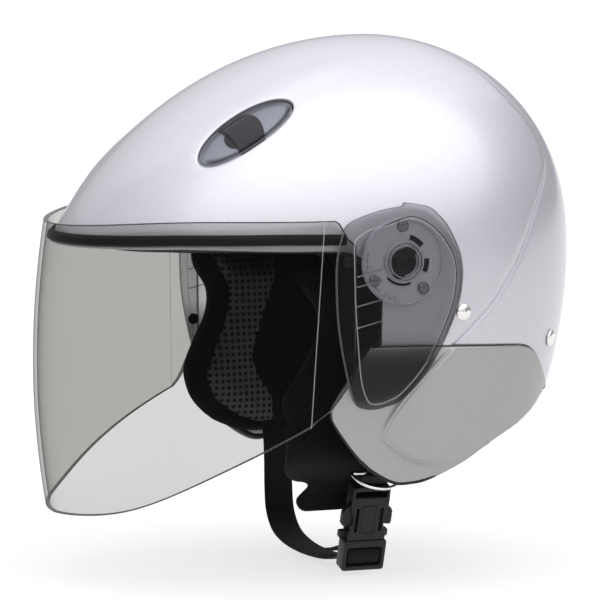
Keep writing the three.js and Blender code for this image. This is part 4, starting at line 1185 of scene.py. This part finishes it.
def flat_place(base):
    """Places a flat slab in the local X-Y plane; depth is measured down from the base height."""
    return lambda uv, depth: np.column_stack([uv, np.full(len(uv), base - depth)])


def plate(loops, base, thickness, radius, spacing=3.0):
    uv, faces = filled([np.asarray(loop, float) for loop in loops], spacing)
    return slab(uv, faces, flat_place(base), 0, thickness, radius, steps=3)


def arc_band(inner, outer, first, last, count=16):
    return np.vstack([
        turned_arc((0, 0), outer, first, last, count), turned_arc((0, 0), inner, last, first, count)
    ])


def circle(radius, count=40, centre=(0, 0)):
    return turned_arc(centre, radius, 0, 360 - 360 / count, count)


PLATE_SLOTS = [(38, 74, 12.2, 15), (-25, 6, 12.2, 15), (222, 290, 11.8, 13)]    # first, last, inner, outer
PLATE_RINGS = [(8.3, 8.9, 2.6), (10.3, 11.2, 2.0), (22.2, 23.4, 0.9)]           # inner, outer, rise
HUB_LUGS = [((3.4, 5.2), 3.2), ((-2.8, -5.6), 3.6)]                             # place, radius
SCREW_RADIUS = 3.2


def build_pivot_base():
    """The ratchet plate: a disc with arc slots, raised rings and a toothed sector."""
    slots = [arc_band(inner, outer, first, last) for first, last, inner, outer in PLATE_SLOTS]
    holes = [circle(1.9, 16, spot) for spot in BASE_SCREWS]
    outlines = [circle(PLATE_RADIUS, 90), *slots, *holes]
    disc = plate(outlines, PLATE_OUTER_X, PLATE_OUTER_X - PLATE_INNER_X, 0.4)
    rings = [
        hoop(ring_profile(inner, outer, PLATE_OUTER_X - 0.5, PLATE_OUTER_X + rise))
        for inner, outer, rise in PLATE_RINGS
    ]
    teeth = [
        plate([arc_band(19.3, 21.4, angle, angle + 5, 3)], PLATE_OUTER_X + 1.1, 1.5, 0.25)
        for angle in range(165, 262, 9)
    ]
    return moved(merged(disc, *rings, *teeth), SIDEWAYS)


def build_pivot_hub():
    """A turned hub with a flange and two lugs that lock the cover on, and black floors of painted shade under the
    plate's slots.
    """
    base, top = PLATE_OUTER_X + 0.3, HUB_TOP_X
    post = turned([
        (0, base), (7, base), (7.2, base + 0.3), (7, base + 0.8), (5.8, base + 1.0),
        (HUB_RADIUS, base + 1.6), (HUB_RADIUS, top - 1.3), (HUB_RADIUS - 0.4, top - 0.9), (3.3, top - 0.9),
        (3.1, top - 0.2), (2.7, top), (2.3, top - 0.2), (2.1, top - 1.4), (0, top - 1.4),
    ], 56)
    lugs = [
        plate([circle(radius, 24, spot)], base + 1.9, 1.9, 0.5, 2)
        for spot, radius in HUB_LUGS
    ]
    # Black sheets under the plate's slots: painted shade that makes the slots look dark.
    floor = PLATE_INNER_X + 0.5
    slot_shade_sheets = [
        plate([arc_band(inner - 0.4, outer + 0.4, first - 2, last + 2)], floor, 0.3, 0.1)
        for first, last, inner, outer in PLATE_SLOTS
    ]
    return moved(merged(post, *lugs, *slot_shade_sheets), SIDEWAYS)


def cross_head(radius, height, shank=3.0):
    """A pan-head screw with a cross recess sunk in its top."""
    dome = turned([
        (0, -shank), (radius * 0.5, -shank), (radius * 0.5, 0), (radius, 0), (radius, height * 0.45),
        (radius * 0.82, height * 0.85), (radius * 0.5, height), (0, height),
    ], 32)
    points = dome[0]
    arms = np.minimum(np.abs(points[:, 0]), np.abs(points[:, 1])) < radius * 0.14
    near = np.hypot(points[:, 0], points[:, 1]) < radius * 0.62
    points[:, 2] -= np.where(arms & near & (points[:, 2] > 0), height * 0.35, 0)
    return dome


def build_screws():
    for i, (y, z) in enumerate(BASE_SCREWS):
        head = cross_head(SCREW_RADIUS, 1.4)
        body = moved(head, Matrix.Translation((PLATE_OUTER_X + 0.3, y, z)) @ SIDEWAYS)
        add_pair(f"base_screw_{i + 1}", body, "shell_body", "steel", DULL_STEEL, crisp=50)
    for name, (y, z) in COVER_SCREWS.items():
        x = float(cover_rim(np.array([[y, z]]))[0]) - 1.9
        body = moved(cross_head(SCREW_RADIUS, 1.3, 0.8), Matrix.Translation((x, y, z)) @ SIDEWAYS)
        add_pair(f"cover_screw_{name}", body, "visor_body", "steel", BLACK_STEEL, crisp=50)


# ---------------------------------------------------------------- smoked side covers
# The cover's raised middle field: straight in front, round behind, with a tight lower corner.
COVER_FIELD = [
    (-28, 13), (-22, 17.5), (-12, 20.5), (2, 24.5), (12.5, 20.5), (21.5, 12), (27.4, 1), (28.3, -12), (24.6, -28),
    (12.4, -53), (-1.2, -69.5), (-9, -74.6), (-16, -76.4), (-21, -74), (-25, -62), (-27.6, -38), (-28.8, -18),
    (-29.2, 0), (-29.2, 8),
]


def cover_rim(uv):
    forward, below = np.maximum(0, 8 - uv[:, 0]), np.maximum(0, -30 - uv[:, 1])
    return COVER_RIM_X - 0.003 * forward**2 - 0.0012 * below**2


def build_side_cover():
    outline = curve(COVER_OUTLINE, 1.6, closed=True)
    field = curve(COVER_FIELD, 1.5, closed=True)
    ring = ring_of(field)
    lines = [ring_of(closed_loop(beside(ring, offset))) for offset in (-1.2, -0.55, 0.0, 0.55)]
    uv, faces = filled([outline], 2.0, lines)
    from_rim = np.abs(nearest(uv, ring_of(outline))[0])
    distance = np.abs(nearest(uv, ring)[0])
    within = np.where(inside(uv, field), distance, -distance)
    band = 6.2 * (1 - np.clip(1 - from_rim / 8.5, 0, 1) ** 2.2) ** 0.8
    dome = 1.9 * fade(within, 0, 26)
    groove = -0.9 * np.exp(-(((within - 0.1) / 0.65) ** 2)) - 0.35 * fade(within, -0.6, 0.8)
    rise = 1.2 + band + dome + groove

    def place(at, depth):
        return np.column_stack([cover_rim(at) + rise - depth, at])

    shell = slab(uv, faces, place, 0, COVER_THICKNESS, 0.8)
    ribs = merged(*cover_ribs())
    # Painted light and shade: the field's outline is painted dark behind as painted shade and light in front as a
    # painted highlight, with a fainter painted highlight just inside it behind; the cover's lower end is painted
    # dark on its inner face as painted shade.
    rear = fade(uv[:, 0] + 0.35 * uv[:, 1], -12, 0)
    dark = (distance < 0.2) * rear
    shade = 0.75 * fade(-uv[:, 1], 40, 56)
    light = np.maximum((distance < 0.2) * (1 - rear) * 0.45, (np.abs(within - 0.55) < 0.2) * rear * 0.35)
    clear = np.zeros(len(uv))
    rim = np.ones(len(shell[0]) - 2 * len(uv))
    rib = np.ones(len(ribs[0]))
    # Its rims are painted grey as painted shade, and the ladder ribs carry a faint painted highlight.
    marks = {
        "edge": np.r_[clear, clear, 0.7 * rim, 0 * rib],
        "shadow": np.r_[dark, shade, 0 * rim, 0 * rib],
        "glint": np.r_[light, clear, 0 * rim, 0.3 * rib],
    }
    return merged(shell, ribs), marks


def cover_ribs():
    """Thin ribs moulded inside the cover's front edge, like a ladder."""
    ribs = []
    for z in (-6, -11.5, -22, -33.5):
        path = np.column_stack([
            np.full(8, COVER_RIM_X + 2.2), np.linspace(-27.5, -13, 8), np.linspace(z - 1.2, z + 2.2, 8)
        ])
        up = np.tile([1.0, 0, 0], (8, 1))
        ribs.append(sweep(path, up, rounded_section(0.55, 2.4, 4, 10)))
    return ribs


# ---------------------------------------------------------------- visor
# The fold ridge's height; twice it is the strength of the painted highlight along each fold.
FOLD_RIDGE = 0.25
VISOR_FLANGE_COLUMNS = 9
VISOR_HALF_WIDTH, VISOR_TAPER = 121, 11
VISOR_FOLD_Y = -43
VISOR_FRONT_Y, VISOR_FRONT_BOW = -163, 7.5
VISOR_SLIMMING = 0.07
VISOR_FLANGE_Y = -25


def visor_front(turn, z):
    """Outer points of the part in front of the folds; turn runs from -90 at the right fold to 90 at the left."""
    below = np.clip((20 - z) / 108, 0, 1.5)
    half_width, fold_y = VISOR_HALF_WIDTH - VISOR_TAPER * below, VISOR_FOLD_Y - 3 * below
    front_y = VISOR_FRONT_Y + VISOR_FRONT_BOW * ((z + 62) / 84) ** 2
    angle = np.radians(turn)
    slim = 1 - VISOR_SLIMMING * np.sin(2 * angle) ** 2 * (1 - 0.6 * np.minimum(1, below))
    return np.stack([half_width * slim * np.sin(angle), fold_y - (fold_y - front_y) * slim * np.cos(angle), z], -1)


def visor_top(turn):
    return 22.5 - 5.8 * np.cos(np.radians(turn)) ** 4


def visor_bottom(turn):
    past = np.abs(turn) - 38
    return -147 + 0.525 * (np.hypot(past, 20) + past)


VISOR_ROWS = 64


def visor_columns():
    """Columns of outer points from the right flange round the front to the left one, each from top to bottom."""
    share = np.linspace(0, 1, VISOR_ROWS)
    # Rows are closer together at the two edges, so that the corners stay crisp.
    share = 0.5 - 0.5 * np.cos(share * math.pi) * (1 - 0.35 * np.sin(share * math.pi) ** 2)
    columns = []
    for turn in np.r_[-90, -89.8, np.linspace(-89, 89, 169), 89.8, 90]:
        z = visor_top(turn) + (visor_bottom(turn) - visor_top(turn)) * share
        columns.append(visor_front(np.full(VISOR_ROWS, turn), z))
    fold_top, fold_bottom = visor_top(90.0), float(visor_bottom(np.array(90.0)))
    flange = []
    for t in np.r_[0.025, np.linspace(0, 1, VISOR_FLANGE_COLUMNS)[1:]]:
        top = np.interp(t, [0, 0.45, 0.75, 1], [fold_top, 22.5, 13, 9])
        bottom = np.interp(t, [0, 0.4, 1], [fold_bottom, -81, -62])
        z = top + (bottom - top) * share
        fold = visor_front(np.full(VISOR_ROWS, 90.0), z)
        y = fold[:, 1] * (1 - t) + VISOR_FLANGE_Y * t
        rim = cover_rim(np.column_stack([y, z])) - np.interp(t, [0, 0.4, 1], [0.6, 0.6, 1.6])
        x = fold[:, 0] + (rim - fold[:, 0]) * fade(t, 0, 0.6)
        flange.append(np.column_stack([x, y, z]))
    right = [column * [-1, 1, 1] for column in flange[::-1]]
    return np.array([*right, *columns, *flange])


def build_visor():
    outer = visor_columns()
    count, rows = outer.shape[:2]
    index = np.arange(count * rows).reshape(count, rows)
    a, b, c, d = index[:-1, :-1], index[1:, :-1], index[1:, 1:], index[:-1, 1:]
    faces = np.vstack([np.stack([a, d, c], -1).reshape(-1, 3), np.stack([a, c, b], -1).reshape(-1, 3)])
    points = outer.reshape(-1, 3)
    normal = vertex_normals(points, faces)
    column = np.repeat(np.arange(count), rows)
    folds = (VISOR_FLANGE_COLUMNS, count - VISOR_FLANGE_COLUMNS - 1)
    ridge = np.isin(column, folds) * FOLD_RIDGE

    def place(_, depth):
        lift = ridge[:, None] if depth == 0 else -depth
        return points + normal * lift

    visor = slab(np.zeros((len(points), 2)), faces, place, 0, VISOR_THICKNESS, 0.7)
    # The fold lines are painted light as painted highlights, and the visor's rims grey as painted shade.
    return visor, sheet_marks(visor, len(points), glint=ridge * 2)


# ---------------------------------------------------------------- rivets and hangers
def rivet_spot(spot):
    point = on_side([spot])
    return point[0], surface_normal(point)[0]


def build_rivet(spot):
    point, normal = rivet_spot(spot)
    turn = np.radians(np.linspace(0, 90, 9))
    dome = [(4.7 * math.cos(t), 0.55 + 2.0 * math.sin(t)) for t in turn[:-1]]
    head = turned([(0, -7), (2, -7), (2, 0.2), (4.6, 0.2), *dome, (0.8, 2.56), (0, 2.57)])
    return moved(head, upright(point, normal))


HANGER_OUTLINE = [(27, -23), (45, -23), (45.5, -29), (44, -35.5), (31, -35.5), (27.5, -29)]


def build_hanger():
    uv, faces = filled([closed_loop(curve(HANGER_OUTLINE, 1.6, closed=True))], 3)
    return slab(uv, faces, on_side, 5, 6.4, 0.4)


# ---------------------------------------------------------------- webbing
def ribbon(name, path, width=WEBBING_WIDTH, thickness=WEBBING_THICKNESS, step=1.6):
    """A flat strip whose width runs along Y, with rounded edges and a UV map in millimetres for its weave."""
    path = curve(path, step)
    along = np.gradient(path, axis=0)
    up = np.cross(along, [0, 1, 0])
    up /= np.linalg.norm(up, axis=1, keepdims=True)
    section = rounded_section(width, thickness, 5, 28)
    piece = mesh_object(name, sweep(path, up, section))
    travel = np.r_[0, np.cumsum(np.linalg.norm(np.diff(path, axis=0), axis=1))]
    travel = np.pad(travel, len(END_TURNS), mode="edge")
    flat = np.column_stack([np.repeat(travel, len(section)), np.tile(section[:, 0], len(travel))])
    layer = piece.data.uv_layers.new(name="weave")
    corner = np.zeros(len(piece.data.loops), np.int32)
    piece.data.loops.foreach_get("vertex_index", corner)
    layer.data.foreach_set("uv", flat[corner].ravel())
    return piece


def mirror_points(points):
    return [(-x, y, z) for x, y, z in points]


def upper_strap():
    """From the hanger down inside the shell, on the +X side."""
    spots = [(37, -38), (33, -46), (29, -54)]
    return [tuple(p) for p in on_side(spots, 7.7)]


LEFT_STRAP = [*SLIT_PATH, (73.5, 7, -124.6), (71, 6, -126.4)]
RIGHT_STRAP = [
    *mirror_points(SLIT_PATH), (-76.5, 8, -133), (-75.5, 7.8, -147), (-70, 6.6, -160), (-57, 5, -169.3),
    (-40, 4, -173.8), (-18, 3.2, -175.8),
]
STRAP_TAIL = [(8, 3.4, -176), (28, 4.5, -174.6), (47, 6, -170.1)]
STRAP_FLAP = [(47.5, 6, -164), (36, 5, -168), (22, 4.2, -170.8), (14, 3.8, -171.9)]
# Round the ladder block's bar, in the buckle's own height and depth.
LADDER_WRAP = [(-47.6, -3.5), (-47.4, 1), (-46, 3.2), (-43.2, 3.6), (-40.2, 3.2), (-39.2, 1), (-39.0, -4)]
STRAP_PAD_THICKNESS = 4.2
STRAP_PAD_DEPTHS = [
    (48, -145), (51.5, -134), (56, -126), (64, -120.5), (73, -114), (78, -108), (81, -100), (82, -93),
]
STRAP_PAD_OUTLINE = [
    (-48, -104), (-46.5, -114), (-41.5, -122), (-34.5, -126), (-28.5, -127.2), (-25.5, -129.5), (-28, -133),
    (-31, -137), (-30, -141), (-26.5, -144), (-20, -144.5), (4, -144), (8, -141), (8.5, -130), (8, -118), (6, -108),
    (-4, -101), (-20, -94), (-48, -93),
]


def build_straps():
    left = ribbon("chin_strap_left", [*upper_strap(), *LEFT_STRAP])
    fit(left, "shell_body", "webbing", WEBBING, "chin_strap_left")
    right = ribbon("chin_strap_right", [*mirror_points(upper_strap()), *RIGHT_STRAP, *STRAP_TAIL], 17.4)
    right.data.materials.append(WEBBING)
    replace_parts(right, "chin_strap_right", "strap_tail")
    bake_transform(right)
    wrap = [tuple(buckle_matrix() @ Vector((0, y, z))) for y, z in LADDER_WRAP]
    flap = ribbon("strap_flap", [*wrap, *STRAP_FLAP[1:]])
    fit(flap, "insert_body", "webbing", WEBBING, "strap_flap")


def build_strap_pad():
    """A soft chin cushion behind the buckle, broad at the top where it is tucked into the cheek pad."""
    across, down = zip(*STRAP_PAD_DEPTHS)

    def place(uv, depth):
        return np.column_stack([np.interp(uv[:, 1], down, across) + 2 - depth, uv])

    uv, faces = filled([curve(STRAP_PAD_OUTLINE, 1.8, closed=True)], 3)
    pad = mesh_object("strap_pad", slab(uv, faces, place, 0, STRAP_PAD_THICKNESS, 2.0))
    fit(pad, "shell_body", "lining_fabric", VELOUR, "strap_pad")


# ---------------------------------------------------------------- buckle, built flat and hung on the strap
def buckle_matrix():
    """Stands the buckle, built flat as (across, up, out of its face), on the end of the strap."""
    sine, cosine = math.sin(BUCKLE_LEAN), math.cos(BUCKLE_LEAN)
    across, up, face = Vector((0, 1, 0)), Vector((sine, 0, cosine)), Vector((cosine, 0, -sine))
    turn = Matrix((across, up, face)).transposed().to_4x4()
    return Matrix.Translation(BUCKLE_TOP) @ turn


def box_loop(x0, x1, y0, y1, corner=1.0, count=4):
    """A rectangle with rounded corners."""
    left, right, low, high = x0 + corner, x1 - corner, y0 + corner, y1 - corner
    corners = [(right, high, 0), (left, high, 90), (left, low, 180), (right, low, 270)]
    return np.vstack([turned_arc((x, y), corner, turn, turn + 90, count) for x, y, turn in corners])


HOUSING_OUTLINE = [
    (-10.2, -0.4), (0, 0), (10.2, -0.4), (11, -3), (11, -14), (9.4, -18), (9.4, -24), (11, -28), (11, -31.5),
    (10, -32.6), (0, -32.7), (-10, -32.6), (-11, -31.5), (-11, -28), (-9.4, -24), (-9.4, -18), (-11, -14),
    (-11, -3),
]
INSERT_TOP = -33.0
PRONG_OUTLINE = [
    (7.5, -31.1), (9.2, -29.6), (9.3, -24.5), (13.6, -24.4), (14.5, -23.4), (14.5, -16.4), (13.2, -14.2),
    (11.2, -12.4), (8.6, -12.2), (6.6, -13.5), (5.9, -20), (5.7, -29.4),
]
PRONG_RIBS = (-22.6, -20.8, -19, -17.2)


def build_buckle_housing():
    """Two face plates joined by a block at the top, with strap slots, two windows and a raised frame in front."""
    outline = curve(HOUSING_OUTLINE, 1.2, closed=True)
    slot = box_loop(-9.6, 9.6, -6.6, -3, 0.8)
    windows = [box_loop(side * 7.2 - 0.9, side * 7.2 + 0.9, -27.5, -13, 0.8) for side in (-1, 1)]
    front = plate([outline, slot, *windows], 4.5, 2.0, 0.6, 2.0)
    back = plate([outline, slot], -2.5, 2.0, 0.6, 2.0)
    block = plate([box_loop(-11, 11, -9.5, -0.2, 1.2), slot], 3.6, 7.2, 0.8, 2.0)
    rail = plate([box_loop(-4.6, 4.6, -29, -11.5, 1.4), box_loop(-3.6, 3.6, -28, -12.5, 1.0)], 5.0, 0.9, 0.35, 1.6)
    return moved(merged(front, back, block, rail), buckle_matrix())


def build_buckle_insert():
    """The ladder block with a window and a bar for the strap, and the neck, pin and wings above it."""
    window = box_loop(-10.3, 10.3, -48.7, -37.3, 1.2)
    block = plate([box_loop(-12.6, 12.6, INSERT_TOP - 18.3, INSERT_TOP, 1.6), window], 4.8, 9.6, 1.0, 2.0)
    bar = plate([box_loop(-11, 11, -44.6, -41.7, 0.8)], 1.6, 3.2, 0.6, 2.0)
    neck = plate([box_loop(-10.4, 10.4, INSERT_TOP - 1, -31.6, 0.8)], 2.2, 4.4, 0.5, 2.0)
    wings = plate([box_loop(-14.5, 14.5, INSERT_TOP, -28.6, 1.0)], -0.3, 3.8, 0.6, 2.0)
    pin = plate([box_loop(-1.2, 1.2, INSERT_TOP, -12, 0.6)], 2.2, 4.4, 0.4, 1.5)
    return moved(merged(block, bar, neck, wings, pin), buckle_matrix())


def build_buckle_prong(side):
    """A springy arm with a ribbed finger tab."""
    arm = plate([curve(PRONG_OUTLINE, 0.9, closed=True)], 2.2, 4.4, 0.5, 1.6)
    ribs = [plate([box_loop(12.6, 14.9, y - 0.4, y + 0.4, 0.35)], 2.0, 4.0, 0.3, 1.0) for y in PRONG_RIBS]
    body = merged(arm, *ribs)
    if side < 0:
        body = mirrored(body)
    return moved(body, buckle_matrix())


# ---------------------------------------------------------------- helmet-lock ring
RING_HALF_WIDTH = 13
RING_DEPTH = 17
RING_WIRE = 2.0
RING_LOOP_RADIUS = 2.3


def build_lock_ring():
    """A D-shaped ring: a bow that leans out, closed by a straight bar."""
    turn = np.linspace(0, math.pi, 40)
    out = RING_DEPTH * np.sin(turn) ** 0.8
    bow = np.column_stack([out * math.cos(RING_LEAN), -RING_HALF_WIDTH * np.cos(turn), -out * math.sin(RING_LEAN)])
    bar = np.column_stack([np.zeros(12), np.linspace(12, -12, 12), np.zeros(12)])
    path = curve(np.vstack([bow[::3], bar[1:-1:3]]), 1.2, closed=True) + RING_BAR
    up = np.tile([math.sin(RING_LEAN), 0, math.cos(RING_LEAN)], (len(path), 1))
    return sweep(path, up, rounded_section(RING_WIRE, RING_WIRE, 2, 16), closed=True)


def build_ring_loop():
    """A short length of webbing folded round the ring's bar and sewn up under the pad."""
    (x, y, z), radius, up = RING_BAR, RING_LOOP_RADIUS, 2.6
    turn = np.radians(np.linspace(200, -20, 16))[4:-4:2]
    fold = [(x - radius * math.cos(t), y, z - radius * abs(math.sin(t))) for t in turn]
    path = [(x - radius, y, z + up), *fold, (x + radius, y, z + up)]
    return ribbon("ring_loop", path, 10, 1.0, 0.7)


# ---------------------------------------------------------------- assembly
def build_helmet():
    add("outer_shell", build_shell(), "shell_body", "shell_paint", SILVER)
    add_pair("side_panel", build_panel(), "shell_body", "panel_paint", SATIN)
    add_pair("opening_trim", build_opening_trim(), "shell_body", "trim_rubber", RUBBER)
    add("rear_trim", build_rear_trim(), "shell_body", "trim_rubber", RUBBER)
    add("brow_seal", build_brow_seal(), "shell_body", "trim_rubber", RUBBER)
    add("eps_liner", build_liner(), "shell_body", "foam", FOAM)
    add("crown_lining", build_crown_lining(), "shell_body", "lining_fabric", VELOUR)
    add("neck_roll", build_neck_roll(), "shell_body", "lining_fabric", VELOUR)
    build_cheek_pads()
    build_vents()
    add_pair("pivot_base", build_pivot_base(), "shell_body", "shell_paint", SILVER, crisp=40)
    add_pair("pivot_hub", build_pivot_hub(), "shell_body", "black_plastic", PLASTIC, crisp=50)
    build_screws()
    cover, cover_marks = build_side_cover()
    add_pair("side_cover", cover, "visor_body", "smoke_plastic", COVER_SMOKE, marks=cover_marks)
    visor, visor_marks = build_visor()
    add("visor", visor, "visor_body", "clear_plastic", VISOR_CLEAR, marks=visor_marks)
    add_pair("strap_rivet", build_rivet(STRAP_RIVET), "shell_body", "steel", CHROME)
    add_pair("rear_rivet", build_rivet(REAR_RIVET), "shell_body", "steel", CHROME)
    add_pair("strap_hanger", build_hanger(), "shell_body", "steel", DULL_STEEL)
    build_straps()
    build_strap_pad()
    add("buckle_housing", build_buckle_housing(), "shell_body", "black_plastic", PLASTIC, crisp=45)
    add("buckle_insert", build_buckle_insert(), "insert_body", "black_plastic", PLASTIC, crisp=45)
    add("buckle_prong_front", build_buckle_prong(-1), "front_prong_body", "black_plastic", PLASTIC, crisp=45)
    add("buckle_prong_rear", build_buckle_prong(1), "rear_prong_body", "black_plastic", PLASTIC, crisp=45)
    add("lock_ring", build_lock_ring(), "ring_body", "steel", CHROME)
    fit(build_ring_loop(), "shell_body", "webbing", WEBBING, "ring_loop")


# ---------------------------------------------------------------- studio
CAMERA_AZIMUTH = math.radians(68)
CAMERA_ELEVATION = math.radians(4.5)
CAMERA_DISTANCE = 2.4
CAMERA_LENS = 254.9
CAMERA_AIM = Vector((-0.0081, -0.0314))    # sideways and up from the origin, as the photo is framed
FLOOR_SIZE = 120.0


def build_camera():
    a, e = CAMERA_AZIMUTH, CAMERA_ELEVATION
    back = Vector((math.sin(a) * math.cos(e), -math.cos(a) * math.cos(e), math.sin(e)))
    right = Vector((math.cos(a), math.sin(a), 0))
    up = back.cross(right)
    camera = bpy.data.objects.new("camera", bpy.data.cameras.new("camera"))
    camera.data.lens = CAMERA_LENS
    camera.data.clip_end = 500
    target = right * CAMERA_AIM.x + up * CAMERA_AIM.y
    camera.location = back * CAMERA_DISTANCE
    camera.rotation_euler = (target - camera.location).to_track_quat("-Z", "Y").to_euler()
    bpy.context.scene.collection.objects.link(camera)
    bpy.context.scene.camera = camera


def add_sun(name, direction, strength, spread):
    light = bpy.data.objects.new(name, bpy.data.lights.new(name, "SUN"))
    light.data.energy = strength
    light.data.angle = math.radians(spread)
    light.rotation_euler = Vector(direction).to_track_quat("Z", "Y").to_euler()
    bpy.context.scene.collection.objects.link(light)


# Brightness of the sky by height: white where it meets the floor, dark just above that and light overhead.
SKY = [(0.0, 1.0), (0.03, 1.0), (0.06, 0.28), (0.35, 0.45), (0.8, 1.15)]
SKY_BLUE = 1.045           # how much brighter its blue is


def build_world():
    """A soft dome of light."""
    world = bpy.data.worlds.new("studio")
    world.use_nodes = True
    tree = world.node_tree
    place = tree.nodes.new("ShaderNodeTexCoord").outputs["Generated"]
    split = tree.nodes.new("ShaderNodeSeparateXYZ")
    tree.links.new(place, split.inputs[0])
    ramp = tree.nodes.new("ShaderNodeValToRGB")
    ramp.color_ramp.elements[0].position = SKY[0][0]
    ramp.color_ramp.elements[1].position = SKY[-1][0]
    for position, _ in SKY[1:-1]:
        ramp.color_ramp.elements.new(position)
    for element, (_, brightness) in zip(ramp.color_ramp.elements, SKY):
        element.color = (brightness, brightness, brightness * SKY_BLUE, 1)
    tree.links.new(split.outputs["Z"], ramp.inputs["Fac"])
    tree.links.new(ramp.outputs["Color"], tree.nodes["Background"].inputs["Color"])
    tree.nodes["Background"].inputs["Strength"].default_value = 1.0
    bpy.context.scene.world = world


def build_floor():
    half = FLOOR_SIZE / 2
    level = CAD_BOX[0][2] - 1 * MM
    corners = [(-half, -half, level), (half, -half, level), (half, half, level), (-half, half, level)]
    mesh = bpy.data.meshes.new("floor")
    mesh.from_pydata(corners, [], [(0, 1, 2, 3)])
    floor = bpy.data.objects.new("floor", mesh)
    bpy.context.scene.collection.objects.link(floor)
    finish = Finish("floor_paper", (0.25, 0.25, 0.25), 0.9)
    finish.colour(finish.blend_colours(finish.noise(3.0), (0.245, 0.245, 0.245), (0.255, 0.255, 0.255)))
    finish.shader.inputs["Emission Color"].default_value = (1, 1, 1, 1)
    finish.shader.inputs["Emission Strength"].default_value = 0.7
    mesh.materials.append(finish.material)


def build_studio():
    build_camera()
    build_world()
    build_floor()
    add_sun("key", (0.6, -0.05, 0.8), 1.75, 90)
    add_sun("rim", (-0.6, 0.1, 0.8), 0.4, 80)
    bpy.context.scene.view_settings.view_transform = "Standard"


build_studio()
build_helmet()
